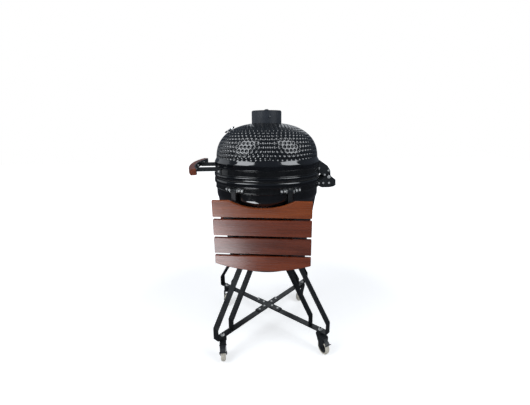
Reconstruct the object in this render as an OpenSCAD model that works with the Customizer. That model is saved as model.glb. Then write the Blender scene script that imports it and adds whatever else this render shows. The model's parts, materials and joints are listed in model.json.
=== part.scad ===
// Kamado style ceramic charcoal grill on a castor stand.
// Millimetres. The floor is z = 0 and the bowl's axis is the Z axis.
// The handle is at -X, the lid hinge at +X, the shelves hang at -Y and +Y.

/* [Ceramic body] */
// Outside radius of the ceramic under the steel bands
body_r = 268; // [264:1:271]
// Height of the seam between bowl and lid above the floor
seam_z = 904; // [894:1:914]
// Thickness of the ceramic walls
wall = 26; // [23:1:28]
// How far the two rims stick out past the wall
lip_out = 8; // [6:1:10]
// Height of the curved part of the dome
dome_h = 185; // [178:1:192]
// Fullness of the dome's curve, where 2 is an ellipse
dome_full = 2.45; // [2.3:0.05:2.6]
// Outside radius of the bowl where the stand's hoop holds it
bowl_low_r = 207; // [202:1:211]
// Height of the steel bands
band_h = 28; // [24:1:30]
// Thickness of the steel bands
band_t = 2; // [1.5:0.25:2.5]

/* [Vent cap] */
// Outside radius of the vent cap
cap_r = 76; // [72:1:80]
// Height of the vent cap's wall
cap_h = 58; // [52:1:64]
// Number of holes in the vent cap
vent_holes = 5; // [4:1:6]

/* [Thermometer] */
// Radius of the thermometer's bezel
dial_r = 28.5; // [26:0.5:31]
// Distance from the bowl's axis to where the thermometer's stem enters the dome
dial_foot_r = 187; // [182:1:194]

/* [Handle] */
// Half of the grip's length
grip_half = 250; // [225:5:260]
// Distance of the grip's inner face from the bowl's axis
grip_at = 366; // [355:1:375]
// How far the grip's ends bend back towards the lid
grip_bow = 31; // [24:1:36]
// Width of the grip, away from the lid
grip_w = 28; // [24:1:32]
// Height of the grip
grip_h = 28; // [24:1:32]
// Half of the distance between the handle's two arms
arm_half = 108; // [95:1:120]

/* [Hinge] */
// Distance of the hinge pin from the bowl's axis
pin_x = 322; // [318:1:328]
// Height of the hinge pin below the seam
pin_drop = 12; // [10:1:14]
// Radius of the hinge pin
pin_r = 5; // [4:0.5:6]
// Half of the width between the bowl bracket's cheeks
hinge_half = 52; // [46:1:58]

/* [Shelves] */
// Width of a shelf along its slats
shelf_w = 462; // [440:2:480]
// Width of one slat
slat_w = 78.5; // [74:0.5:80]
// Gap between two slats
slat_gap = 13.5; // [11:0.5:15]
// Thickness of the slats
slat_t = 18; // [15:1:20]
// How far a shelf is turned from square towards the handle
shelf_turn = 10; // [8:1:12]
// How far a hanging shelf leans in at the bottom
shelf_lean = 3; // [1:0.5:4]
// Half of the distance between a shelf's two arms
shelf_arm_half = 131; // [125:1:137]

/* [Stand] */
// Height of the plate ring that the bowl stands on
ring_z = 440; // [434:1:446]
// Distance from the middle to the outer leg strips
leg_out_r = 400; // [392:1:408]
// Distance from the middle to the inner leg strips
leg_in_r = 297; // [290:1:304]
// Width of the flat steel in the legs and the brace
strip_w = 35; // [31:1:38]
// Thickness of the flat steel in the legs and the brace
strip_t = 5; // [4:0.5:6]
// Height of the short upright foot of every leg strip
foot_h = 55; // [48:1:60]

/* [Castors] */
// Height of the brace's underside above the floor
brace_z = 116; // [114:1:122]
// Distance from the middle to the castor stems
castor_r = 358; // [352:1:364]
// Diameter of the wheels
wheel_d = 76; // [72:1:78]
// Width of the wheels
wheel_w = 24; // [20:1:26]
// How far the axle trails behind the stem
trail = 30; // [26:1:34]

/* [Hidden] */
$fn = 96;
eps = 1;
// Running gap between pieces that move against each other
run_gap = 0.4;
// Castor places and the way each wheel trails, front left, front right, rear right, rear left
castor_az = [225, 315, 45, 135];
castor_turn = [-86, -65, -127, -95];
braked = [0, 1];

// Ceramic body
band_r = body_r + band_t;
skin_r = body_r - 2;
dome_r = body_r - 5;
collar_r = body_r + 4;
collar_round = 10;
lip_r = body_r + lip_out;
base_lip_h = 25;
lid_lip_h = 19;
gasket_t = 1.8;
rim_gap = run_gap / 2 + gasket_t;
base_rim_z = seam_z - rim_gap;
lid_rim_z = seam_z + rim_gap;
base_band_top = base_rim_z - base_lip_h;
base_band_z = base_band_top - band_h / 2;
lid_band_low = lid_rim_z + lid_lip_h;
lid_band_h = band_h + 3.5;
lid_band_z = lid_band_low + lid_band_h / 2;
dome_up = 81;
dome_z0 = seam_z + dome_up;
shoulder_drop = 104;
shoulder_z = seam_z - shoulder_drop;
shoulder_r = body_r - 7;
hoop_up = 30;
hoop_top = ring_z + hoop_up;
bowl_slope = (shoulder_r - bowl_low_r) / (shoulder_z - hoop_top);
floor_more = 4;
floor_t = wall + floor_more;
cavity_z = ring_z + floor_t;

// Vent cap
neck_r = 60;
neck_hole_r = 44;
cap_t = 4;
cap_plate = 5;
cap_z0 = dome_z(cap_r - cap_t) + 0.1;
cap_top = cap_z0 + cap_h;
neck_drop = 22;
neck_top = cap_top - neck_drop;
shutter_t = 3.5;
shutter_z = cap_top + run_gap;
vent_ring_r = 42;
vent_hole_r = 13;
knob_r = 11;
pivot_r = 4;
cap_screw_az = -82;
cap_screw_r = 3;
cap_screw_drop = 27;
cap_screw_z = cap_top - cap_screw_drop;

// Thermometer
case_depth = 7.5;
case_back = 2;
bezel_h = 4;
bezel_w = 4;
plate_h = 0.8;
needle_h = 1.2;
needle_gap = 0.5;
glass_h = 1.2;
glass_in = 0.8;
boss_h = 1;
boss_r = 9;
dial_lift = case_depth + boss_h + run_gap;
dial_tilt = dome_tilt(dial_foot_r);
dial_at_r = dial_foot_r + dial_lift * sin(dial_tilt);
dial_z = dome_z(dial_foot_r) + dial_lift * cos(dial_tilt);
stem_r = 4;
stem_len = 85;

// Handle and lid fasteners
bolt_r = 3;
bolt_head_r = 5.5;
bolt_head_h = 5;
plate_t = 3;
saddle_r = band_r + plate_t;
arm_t = 4;
arm_h = 21;
arm_up = 9.5;
handle_z = lid_band_z + arm_up;
grip_up = 6.75;
grip_z = handle_z + grip_up;
bar_h = grip_h - 2;
bow_r = (grip_half * grip_half + grip_bow * grip_bow) / (2 * grip_bow);
bow_x = bow_r - grip_at;
bow_half_a = asin(grip_half / bow_r);
arm_az = asin(arm_half / saddle_r);
bar_half_a = asin((arm_half - arm_t / 2) / bow_r);
handle_bolt_az = [180 - arm_az - 4, 180 - arm_az + 4, 180 + arm_az - 4, 180 + arm_az + 4];
grip_bolt_a = [-bow_half_a * 0.62, 0, bow_half_a * 0.62];

// Hinge
pin_z = seam_z - pin_drop;
cheek_t = 4;
lid_cheek_y = hinge_half - cheek_t - 1;
hinge_saddle_a = 21;
hinge_bolt_az = [-17.5, 17.5];
ear_r = 12;
cheek_head_h = 3;
lid_cheek_bolt_at = [[pin_x - 21, pin_z + 10], [pin_x - 1, pin_z + 32]];
web_t = 3;
web_in = 1;
crest_up = 22;
knee_up = 58;
hinge_saddle_h = 24;
spring_r = pin_r + 4;
spring_wire = 1.4;
spring_turns = 8;

// Shelves
shelf_arm_w = 20;
shelf_arm_t = 2;
slat_count = 4;
pivot_n = band_r - 14;
pivot_z = base_band_z;
shelf_pin_r = 5;
slat_top = 40.5;
slat_pitch = slat_w + slat_gap;
slats_end = slat_top + (slat_count - 1) * slat_pitch + slat_w;
cut_half = 153;
cut_deep = 37;
cut_r = (cut_half * cut_half + cut_deep * cut_deep) / (2 * cut_deep);
end_deep = 37;
end_r = (shelf_w * shelf_w / 4 + end_deep * end_deep) / (2 * end_deep);
shelf_screw_r = 2.5;
bracket_cheek = shelf_arm_w / 2 + 0.6;
bracket_bolts = [-40, -26, 26, 40];
bracket_half = 48;

// Stand
brace_top = brace_z + strip_t;
hoop_h = 32;
hoop_t = 5;
hoop_in = bowl_r(hoop_top) + 0.2;
hoop_out = hoop_in + hoop_t;
ring_t = 6;
ring_in = 95;
ring_out = 150;
foot_top = brace_top + foot_h;
tab_h = 22;
in_tab = 26;
cross_half = 90;
cross_bolt_r = [32, 73];
arm_start = strip_w / 2 + 1;

// Castors
wheel_r = wheel_d / 2;
axle_r = 4;
fork_in = wheel_w / 2 + 2;
fork_t = 2.5;
head_r = 20;
spindle_r = 6;
head_low = brace_z - 22;
head_top = brace_z - 7;
stem_bolt_r = 5;
nut_h = 9;
nut_af_r = 9;
pedal_x = trail + 4;
pedal_z = wheel_d + 12;
pedal_pin_r = 3;
pedal_half = 19;
shoe_a = 60;
shoe_gap = 0.8;
hood_gap = 3;
hood_t = 3;
hood_low_a = 38;
hood_high_a = 96;
tab_out = 4;
crown_t = 7;
crown_low = head_low + 1;

// Draft door
door_az = 180;
door_half = 17;
door_travel = 36;
draft_gap = 4;
draft_low = hoop_top + draft_gap;
draft_h = 64;
draft_sill = 10;
draft_open_low = draft_low + draft_sill;
draft_open_h = 42;
draft_half = 15;
frame_t = 7.6;
frame_back = 2.2;
frame_lip = 1.6;
frame_edge = 3;
frame_cover = 8;
frame_end_a = 2;
door_t = 2;
door_gap = 0.8;

// Inside
liner_gap = 6;
liner_t = 20;
fire_up = 262;
fire_top = ring_z + fire_up;
grate_up = 120;
grate_seat = ring_z + grate_up;
grill_drop = 36;
grill_seat = seam_z - grill_drop;
rod_r = 3;
grill_gap = 6;
grill_r = body_r - wall - grill_gap;
grill_pitch = 15;

// Curves of the ceramic
function dome_z(r) = dome_z0 + dome_h * pow(1 - pow(r / dome_r, dome_full), 1 / dome_full);
function dome_tilt(r) = atan(dome_h / dome_r * pow(1 - pow(r / dome_r, dome_full), 1 / dome_full - 1)
    * pow(r / dome_r, dome_full - 1));
function dome_point(a, r, h) = [r * pow(cos(a), 2 / dome_full),
    dome_z0 + h * pow(sin(a), 2 / dome_full)];
function dome_angle(r, full_r) = acos(pow(r / full_r, dome_full / 2));
function bowl_r(z) = shoulder_r - bowl_slope * (shoulder_z - z);
function liner_r(z) = bowl_r(min(z, shoulder_z)) - wall - liner_gap;
function round_wheel(r, a) = [trail + r * cos(a), wheel_r + r * sin(a)];
function draft_half_w() = bowl_r(draft_open_low) * sin(draft_half) - 1;

// Lower end of an inner leg, from the slope that it shares with the outer leg
function leg_lean() = (leg_out_r - hoop_out) / (hoop_top - tab_h - foot_top);
function in_tab_r() = leg_in_r - (ring_z - ring_t - strip_t - foot_top) * leg_lean();

// Outline of a strip of thickness t bent along the given points
function bent_strip(points, t) = concat(
    [for (p = points) [p[0] - t / 2, p[1]]],
    [for (i = [len(points) - 1 : -1 : 0]) [points[i][0] + t / 2, points[i][1]]]);

// Small shapes used by many pieces
module ring(r1, r2, z1, z2) {
    rotate_extrude() translate([r1, z1]) square([r2 - r1, z2 - z1]);
}

module sector(r1, r2, z1, z2, a1, a2) {
    rotate([0, 0, a1]) rotate_extrude(angle = a2 - a1)
        translate([r1, z1]) square([r2 - r1, z2 - z1]);
}

module outward(az, z) {
    rotate([0, 0, az]) translate([0, 0, z]) rotate([0, 90, 0]) children();
}

module plate_xz(points, y1, y2) {
    translate([0, y2, 0]) rotate([90, 0, 0]) linear_extrude(y2 - y1) polygon(points);
}

module rod_y(x, z, r, y1, y2) {
    translate([x, y2, z]) rotate([90, 0, 0]) cylinder(r = r, h = y2 - y1);
}

module band_bolt(az, z, head = true) {
    start = head ? body_r : body_r - 5;
    outward(az, z) translate([0, 0, start]) cylinder(r = bolt_r, h = saddle_r + bolt_head_h - start);
    if (head) outward(az, z) translate([0, 0, saddle_r])
        cylinder(r = bolt_head_r, h = bolt_head_h, $fn = 6);
}

// Lid bolts sit on the hinge's and the handle's curved saddles
module lid_band_bolts(head = true) {
    for (a = hinge_bolt_az) band_bolt(a, lid_band_z, head);
    for (a = handle_bolt_az) band_bolt(a, lid_band_z, head);
}

module base_band_bolts(head = true) {
    for (a = hinge_bolt_az) band_bolt(a, base_band_z, head);
    for (m = [0, 1]) mirror([0, m, 0]) rotate([0, 0, -90 - shelf_turn])
        for (s = [-1, 1], b = bracket_bolts)
            band_bolt(s * asin((shelf_arm_half + b) / saddle_r), base_band_z, head);
}

// Ceramic bowl, lid, gaskets and bands
module base_bowl() {
    inner_top = body_r - wall;
    color("#16171a") difference() {
        rotate_extrude() polygon([
            [0, ring_z], [bowl_low_r - 25, ring_z], [bowl_low_r - 14, ring_z + 2],
            [bowl_low_r - 7, ring_z + 6], [bowl_r(ring_z + 14), ring_z + 14], [shoulder_r, shoulder_z],
            [skin_r - 1.5, shoulder_z + 5], [skin_r, shoulder_z + 12],
            [skin_r, base_band_top - band_h - 3], [body_r, base_band_top - band_h - 1],
            [body_r, base_band_top], [lip_r - 3, base_band_top], [lip_r, base_band_top + 4],
            [lip_r, base_rim_z - 4], [lip_r - 3, base_rim_z], [inner_top, base_rim_z],
            [shoulder_r - wall, shoulder_z], [bowl_r(cavity_z) - wall, cavity_z], [0, cavity_z]]);
        draft_opening();
    }
}

module base_gasket() {
    color("#2b2b2b") ring(body_r - wall + 4, body_r + 2, base_rim_z, base_rim_z + gasket_t);
}

module lid_gasket() {
    color("#2b2b2b") ring(body_r - wall + 4, body_r + 2, lid_rim_z - gasket_t, lid_rim_z);
}

module base_band() {
    color("#1b1c1e") difference() {
        ring(body_r, band_r, base_band_top - band_h, base_band_top);
        base_band_bolts(head = false);
        translate([body_r - 5, -1.5, base_band_top - band_h - eps]) cube([15, 3, band_h + 2 * eps]);
    }
}

module lid_band() {
    color("#1b1c1e") difference() {
        ring(body_r, band_r, lid_band_low, lid_band_low + lid_band_h);
        lid_band_bolts(head = false);
        translate([body_r - 5, -1.5, lid_band_low - eps]) cube([15, 3, lid_band_h + 2 * eps]);
    }
}

module lid_dome() {
    steps = 14;
    in_r = dome_r - wall;
    band_top = lid_band_low + lid_band_h;
    in_h = dome_h - wall + 3;
    a_out = dome_angle(neck_r, dome_r);
    a_in = dome_angle(neck_hole_r, in_r);
    color("#16171a") difference() {
        rotate_extrude() polygon(concat(
            [[body_r - wall, lid_rim_z], [lip_r - 3, lid_rim_z], [lip_r, lid_rim_z + 3],
                [lip_r, lid_band_low - 4], [lip_r - 3, lid_band_low], [body_r, lid_band_low],
                [body_r, band_top + 1], [collar_r - 1.5, band_top + 1], [collar_r, band_top + 2.5]],
            [for (a = [0 : 30 : 90])
                [dome_r + (collar_r - dome_r) * cos(a), dome_z0 + collar_round * sin(a)]],
            [for (i = [1 : steps]) dome_point(a_out * i / steps, dome_r, dome_h)],
            [[neck_r, neck_top], [neck_hole_r, neck_top]],
            [for (i = [steps : -1 : 0]) dome_point(a_in * i / steps, in_r, in_h)]));
        on_dial() translate([0, 0, -stem_len]) cylinder(r = stem_r + 0.5, h = stem_len);
    }
}

// Vent cap
module vent_openings(z1, z2, turn) {
    for (i = [0 : vent_holes - 1]) rotate([0, 0, turn + i * 360 / vent_holes])
        translate([vent_ring_r, 0, z1]) cylinder(r = vent_hole_r, h = z2 - z1);
}

module vent_cap() {
    color("#2a2d31") difference() {
        union() {
            ring(cap_r - cap_t, cap_r, cap_z0, cap_top);
            ring(pivot_r, cap_r - 1, cap_top - cap_plate, cap_top);
            ring(neck_r + 0.2, neck_r + 5, neck_top - 14, cap_top - 1);
        }
        vent_openings(cap_top - 2 * cap_plate, cap_top + eps, 0);
        vent_screw_shape(0);
    }
}

module vent_screw_shape(head) {
    outward(cap_screw_az, cap_screw_z) translate([0, 0, neck_r + 0.2])
        cylinder(r = cap_screw_r + (head > 0 ? 0 : 0.1), h = cap_r - neck_r + 2);
    if (head > 0) outward(cap_screw_az, cap_screw_z) translate([0, 0, cap_r])
        cylinder(r = cap_screw_r * 1.5, h = head);
}

module vent_screw() {
    color("#6d7074") vent_screw_shape(2.5);
}

module vent_shutter() {
    color("#26292c") difference() {
        ring(pivot_r + run_gap, cap_r - 3, shutter_z, shutter_z + shutter_t);
        vent_openings(shutter_z - eps, shutter_z + shutter_t + eps, 180 / vent_holes);
    }
}

module vent_knob() {
    knob_z = shutter_z + shutter_t + run_gap;
    under_z = cap_top - cap_plate;
    color("#2a2d31") rotate_extrude() polygon([[0, under_z - 3], [pivot_r + 3, under_z - 3],
        [pivot_r + 3, under_z], [pivot_r, under_z], [pivot_r, knob_z], [knob_r, knob_z],
        [knob_r, knob_z + 4], [knob_r - 3, knob_z + 7], [0, knob_z + 8]]);
}

// Thermometer, built on the dial's own axis
module on_dial() {
    translate([-dial_at_r, 0, dial_z]) rotate([0, -dial_tilt, 0]) children();
}

module thermo_case() {
    color("#b9bcc0") on_dial() difference() {
        union() {
            translate([0, 0, -case_depth]) cylinder(r = dial_r - bezel_w / 2, h = case_depth);
            translate([0, 0, -bezel_h]) cylinder(r = dial_r, h = bezel_h);
            translate([0, 0, -case_depth - boss_h]) cylinder(r = boss_r, h = boss_h + 1);
            translate([0, 0, -stem_len]) cylinder(r = stem_r, h = stem_len - bezel_h);
        }
        translate([0, 0, case_back - case_depth]) cylinder(r = dial_r - bezel_w, h = case_depth);
    }
}

module thermo_dial() {
    color("#f2f2ee") on_dial() translate([0, 0, case_back - case_depth])
        cylinder(r = dial_r - bezel_w, h = plate_h);
}

module thermo_needle() {
    tail = 5;
    needle_w = 1.4;
    hub_r = 2.5;
    color("#b3211c") on_dial() translate([0, 0, case_back + plate_h + needle_gap - case_depth])
        rotate([0, 0, 135]) union() {
            cylinder(r = hub_r, h = needle_h);
            translate([-tail, -needle_w / 2, 0]) cube([dial_r - bezel_w, needle_w, needle_h - 0.4]);
        }
}

module thermo_glass() {
    color("#dfe8ec", 0.35) on_dial() translate([0, 0, -glass_in - glass_h])
        cylinder(r = dial_r - bezel_w, h = glass_h);
}

// Handle
module on_bow(a) {
    translate([bow_x, 0, 0]) rotate([0, 0, 180 + a]) children();
}

module on_grip_bolt(a) {
    on_bow(a) translate([bow_r - arm_t - bolt_head_h, 0, grip_z]) rotate([0, 90, 0]) children();
}

module grip_bolts() {
    for (a = grip_bolt_a) on_grip_bolt(a) cylinder(r = bolt_r, h = bolt_head_h + arm_t + grip_w * 0.7);
}

module bar_piece(a1, a2) {
    translate([bow_x, 0, 0])
        sector(bow_r - arm_t, bow_r, grip_z - bar_h / 2, grip_z + bar_h / 2, 180 + a1, 180 + a2);
}

module handle_bar() {
    color("#1a1b1d") difference() {
        bar_piece(-bar_half_a, bar_half_a);
        grip_bolts();
    }
}

module handle_frame() {
    arm_x = bow_x - sqrt(pow(bow_r - arm_t / 2, 2) - arm_half * arm_half);
    end_a = bow_half_a - 0.5;
    color("#1a1b1d") difference() {
        union() {
            bar_piece(bar_half_a, end_a);
            bar_piece(-end_a, -bar_half_a);
            for (s = [-1, 1]) difference() {
                translate([arm_x, s * arm_half - arm_t / 2, handle_z - arm_h / 2])
                    cube([-arm_x - band_r / 2, arm_t, arm_h]);
                translate([0, 0, handle_z - arm_h]) cylinder(r = band_r + plate_t / 2, h = 2 * arm_h);
            }
            for (s = [-1, 1]) sector(band_r, saddle_r, lid_band_low + 2, lid_band_low + lid_band_h - 2,
                180 + s * arm_az - 7, 180 + s * arm_az + 7);
        }
        lid_band_bolts(head = false);
        grip_bolts();
    }
}

module handle_grip() {
    cut = 4;
    z1 = grip_z - grip_h / 2;
    z2 = grip_z + grip_h / 2;
    r2 = bow_r + grip_w;
    color("#7a3f22") difference() {
        translate([bow_x, 0, 0]) rotate([0, 0, 180 - bow_half_a]) rotate_extrude(angle = 2 * bow_half_a)
            polygon([[bow_r, z1], [r2 - cut, z1], [r2, z1 + cut], [r2, z2 - cut], [r2 - cut, z2],
                [bow_r, z2]]);
        grip_bolts();
    }
}

module lid_bolts() {
    color("#c4c7ca") {
        lid_band_bolts();
        grip_bolts();
        for (a = grip_bolt_a) on_grip_bolt(a) cylinder(r = bolt_head_r, h = bolt_head_h, $fn = 6);
        lid_cheek_bolts();
    }
}

// Hinge
module lid_cheek_bolts(head = true) {
    over = head ? 0 : eps;
    y_in = lid_cheek_y - cheek_t;
    for (s = [0, 1]) mirror([0, s, 0]) {
        for (at = lid_cheek_bolt_at) {
            rod_y(at[0], at[1], bolt_r, y_in - over, lid_cheek_y + cheek_head_h);
            if (head) rod_y(at[0], at[1], bolt_head_r, lid_cheek_y, lid_cheek_y + cheek_head_h);
        }
    }
}

module base_cheek_bolts(head = true) {
    for (s = [0, 1], x = [pin_x - 29, pin_x + 2]) mirror([0, s, 0]) {
        rod_y(x, base_band_z - 4, bolt_r, hinge_half - cheek_t - (head ? 0 : eps), hinge_half + cheek_head_h);
        if (head) rod_y(x, base_band_z - 4, bolt_head_r, hinge_half, hinge_half + cheek_head_h);
    }
}

module clear_of_body(low, lip_low, lip_high) {
    translate([0, 0, low]) cylinder(r = band_r + plate_t / 2, h = body_r);
    translate([0, 0, lip_low]) cylinder(r = lip_r + 2, h = lip_high - lip_low);
}

module hinge_base() {
    low = base_band_z - 28;
    web_half = hinge_half - web_in;
    cheek = [[body_r - 20, base_band_z - 10], [body_r + 19, low], [pin_x + 3, low], [pin_x + 28, low + 4],
        [pin_x + 39, low + 12], [pin_x + 37, pin_z - 16], [pin_x + 12, pin_z + 3], [pin_x - 8, pin_z + 9],
        [lip_r + 10, base_band_top - 1], [body_r - 20, base_band_top - 1]];
    color("#1a1b1d") difference() {
        union() {
            difference() {
                union() {
                    for (s = [0, 1]) mirror([0, s, 0]) {
                        plate_xz(cheek, hinge_half - cheek_t, hinge_half);
                        rod_y(pin_x, pin_z, ear_r, hinge_half - cheek_t, hinge_half);
                    }
                    translate([body_r + 21, -web_half, low + web_in])
                        cube([pin_x - body_r - 18, 2 * web_half, web_t]);
                    translate([pin_x + 34, -web_half, low + 13])
                        cube([web_t, 2 * web_half, pin_z - low - 34]);
                }
                clear_of_body(low - eps, base_band_top - 0.5, seam_z + 40);
            }
            sector(band_r, saddle_r, base_band_z - hinge_saddle_h / 2, base_band_z + hinge_saddle_h / 2,
                -hinge_saddle_a, hinge_saddle_a);
        }
        base_band_bolts(head = false);
        rod_y(pin_x, pin_z, pin_r, -hinge_half - eps, hinge_half + eps);
        base_cheek_bolts(head = false);
    }
}

module base_bolts() {
    color("#c4c7ca") {
        base_band_bolts();
        base_cheek_bolts();
    }
}

module hinge_lid() {
    top = lid_band_low + lid_band_h + crest_up;
    knee = [pin_x - 8, pin_z + knee_up];
    crest = [body_r + 5, top];
    web_half = lid_cheek_y - web_in;
    cheek = [[body_r - 20, lid_band_low + 2], [lip_r + 6, lid_rim_z + 3], [pin_x - 8, pin_z - 9],
        [pin_x + 9, pin_z - 8], [pin_x + 11, pin_z + 4], [pin_x + 9, pin_z + 33], knee, crest,
        [body_r - 20, top]];
    slope = atan2(crest[1] - knee[1], knee[0] - crest[0]);
    color("#1a1b1d") difference() {
        union() {
            difference() {
                union() {
                    for (s = [0, 1]) mirror([0, s, 0]) {
                        plate_xz(cheek, lid_cheek_y - cheek_t, lid_cheek_y);
                        rod_y(pin_x, pin_z, ear_r, lid_cheek_y - cheek_t, lid_cheek_y);
                    }
                    translate([crest[0], -web_half, crest[1]]) rotate([0, slope, 0])
                        translate([2, 0, -web_t - 0.4]) cube([norm(knee - crest) - 3, 2 * web_half, web_t]);
                }
                clear_of_body(seam_z - 60, seam_z - 60, lid_band_low + 0.5);
                translate([0, 0, lid_band_low + lid_band_h]) cylinder(r = collar_r + 1, h = body_r);
            }
            sector(band_r, saddle_r, lid_band_z - hinge_saddle_h / 2, lid_band_z + hinge_saddle_h / 2,
                -hinge_saddle_a, hinge_saddle_a);
        }
        lid_band_bolts(head = false);
        rod_y(pin_x, pin_z, pin_r + run_gap, -hinge_half, hinge_half);
        lid_cheek_bolts(head = false);
    }
}

module hinge_pin() {
    color("#c4c7ca") {
        rod_y(pin_x, pin_z, pin_r, -hinge_half - 5, hinge_half + 5);
        for (s = [0, 1]) mirror([0, s, 0]) rod_y(pin_x, pin_z, pin_r + 3.5, hinge_half, hinge_half + 4);
    }
}

module hinge_springs() {
    pitch = 2 * spring_wire + 0.2;
    color("#8b8e92") for (s = [-1, 1], i = [0 : spring_turns - 1])
        translate([pin_x, s * (8 + i * pitch), pin_z]) rotate([90, 0, 0]) rotate_extrude()
            translate([spring_r - spring_wire - 1, 0]) circle(r = spring_wire, $fn = 24);
}

// Fire box, fire ring and grates
module fire_box() {
    ledge = 14;
    air_holes = 10;
    air_hole_r = 9;
    air_hole_up = 60;
    color("#8d7f70") difference() {
        rotate_extrude() polygon([
            [liner_r(cavity_z) - liner_t - ledge, cavity_z], [liner_r(cavity_z), cavity_z],
            [liner_r(fire_top), fire_top], [liner_r(fire_top) - liner_t, fire_top],
            [liner_r(grate_seat) - liner_t, grate_seat],
            [liner_r(grate_seat) - liner_t - ledge, grate_seat]]);
        draft_opening();
        for (i = [0 : air_holes - 1]) outward((i + 0.5) * 360 / air_holes, grate_seat + air_hole_up)
            translate([0, 0, liner_r(grate_seat) / 2]) cylinder(r = air_hole_r, h = body_r / 2);
    }
}

module fire_ring() {
    in_r = liner_r(shoulder_z) - liner_t;
    color("#8d7f70") rotate_extrude() polygon([[liner_r(fire_top) - liner_t, fire_top],
        [liner_r(fire_top), fire_top], [liner_r(shoulder_z), shoulder_z], [liner_r(shoulder_z), grill_seat],
        [in_r, grill_seat], [in_r, shoulder_z]]);
}

module charcoal_grate() {
    seat_r = liner_r(grate_seat) - liner_t - 2;
    slots = 5;
    slot_pitch = 26;
    slot_w = 12;
    rim = 18;
    plate = 9;
    function half_len(i) = sqrt(pow(seat_r - rim, 2) - pow(abs(i) * slot_pitch + slot_w / 2, 2));
    color("#3a3a3a") difference() {
        translate([0, 0, grate_seat]) cylinder(r = seat_r, h = plate);
        for (i = [-slots : slots]) if (i != 0)
            translate([i * slot_pitch - slot_w / 2, -half_len(i), grate_seat - eps])
                cube([slot_w, 2 * half_len(i), plate + 2 * eps]);
    }
}

module cooking_grate() {
    rim = 8;
    bars = floor(grill_r * 0.88 / grill_pitch);
    function half_len(x) = sqrt(pow(grill_r - rim / 2, 2) - x * x);
    color("#b4b7ba") translate([0, 0, grill_seat]) union() {
        ring(grill_r - rim, grill_r, 0, rim);
        for (i = [-bars : bars])
            rod_y(i * grill_pitch, rim / 2, rod_r, -half_len(i * grill_pitch), half_len(i * grill_pitch));
    }
}

// Draft door in its frame on the bowl's sloping wall
module draft_opening() {
    translate([-body_r, -draft_half_w(), draft_open_low])
        cube([body_r - ring_in, 2 * draft_half_w(), draft_open_h]);
}

module on_slope(d1, d2, z1, z2, a1, a2) {
    rotate([0, 0, a1]) rotate_extrude(angle = a2 - a1)
        polygon([[bowl_r(z1) + d1, z1], [bowl_r(z1) + d2, z1], [bowl_r(z2) + d2, z2], [bowl_r(z2) + d1, z2]]);
}

module draft_frame() {
    top = draft_low + draft_h;
    a1 = door_az - door_half - door_travel - frame_end_a;
    a2 = door_az + door_half + frame_end_a;
    color("#26282a") difference() {
        on_slope(0, frame_t, draft_low, top, a1 - frame_end_a / 2, a2 + frame_end_a / 2);
        on_slope(frame_back, frame_t - frame_lip, draft_low + frame_edge, top - frame_edge, a1, a2);
        on_slope(frame_back + eps, frame_t + eps, draft_low + frame_cover, top - frame_cover, a1, a2);
        draft_opening();
    }
}

module draft_door() {
    door_d = frame_back + door_gap;
    inset = frame_edge + 0.6;
    mid_z = draft_low + draft_h / 2;
    color("#a9adb1") {
        on_slope(door_d, door_d + door_t, draft_low + inset, draft_low + draft_h - inset,
            door_az - door_half, door_az + door_half);
        outward(door_az + door_half - 5, mid_z) translate([0, 0, bowl_r(mid_z) + door_d + door_t / 2])
            cylinder(r = 6, h = 16);
    }
}

// Shelves: a hanging frame with its origin on the pivot, slats towards -Y
module near_side(lean) {
    rotate([0, 0, -shelf_turn]) translate([0, -pivot_n, pivot_z]) rotate([lean, 0, 0]) children();
}

module side(far, lean = shelf_lean) {
    mirror([0, far, 0]) near_side(lean) children();
}

module slat(i) {
    translate([-shelf_w / 2, -shelf_arm_w / 2 - slat_t, -slat_top - i * slat_pitch - slat_w])
        cube([shelf_w, slat_t, slat_w]);
}

module shelf_screw_shapes(slats, head) {
    depth = shelf_arm_w + slat_t * 0.65;
    for (i = slats, s = [-1, 1])
        translate([s * shelf_arm_half, shelf_arm_w / 2, -slat_top - i * slat_pitch - slat_w / 2])
            rotate([90, 0, 0]) {
                cylinder(r = shelf_screw_r, h = depth);
                if (head) translate([0, 0, -3]) cylinder(r = 2 * shelf_screw_r, h = 3);
            }
}

module slat_top_shape() {
    difference() {
        slat(0);
        translate([0, 0, -slat_top - cut_deep + cut_r]) rotate([90, 0, 0])
            cylinder(r = cut_r, h = 2 * shelf_arm_w + slat_t, $fn = 200);
        shelf_screw_shapes([0], false);
    }
}

module slats_mid_shape() {
    for (i = [1, 2]) difference() {
        slat(i);
        shelf_screw_shapes([i], false);
    }
}

module slat_end_shape() {
    difference() {
        intersection() {
            slat(slat_count - 1);
            translate([0, 0, end_r - slats_end]) rotate([90, 0, 0])
                cylinder(r = end_r, h = 2 * shelf_arm_w + slat_t, $fn = 300);
        }
        shelf_screw_shapes([slat_count - 1], false);
    }
}

module shelf_arms() {
    arm_len = slats_end - 30;
    inner = shelf_arm_w - 2 * shelf_arm_t;
    for (s = [-1, 1]) difference() {
        translate([s * shelf_arm_half, 0, 0]) difference() {
            union() {
                translate([-shelf_arm_w / 2, -shelf_arm_w / 2, -arm_len])
                    cube([shelf_arm_w, shelf_arm_w, arm_len]);
                rotate([0, 90, 0]) translate([0, 0, -shelf_arm_w / 2])
                    cylinder(r = shelf_arm_w / 2, h = shelf_arm_w);
            }
            translate([-inner / 2, -inner / 2, shelf_arm_t - arm_len]) cube([inner, inner, arm_len - 16]);
            rotate([0, 90, 0]) translate([0, 0, -shelf_arm_w])
                cylinder(r = shelf_pin_r + run_gap, h = 2 * shelf_arm_w);
        }
        shelf_screw_shapes([0 : slat_count - 1], false);
    }
}

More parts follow.
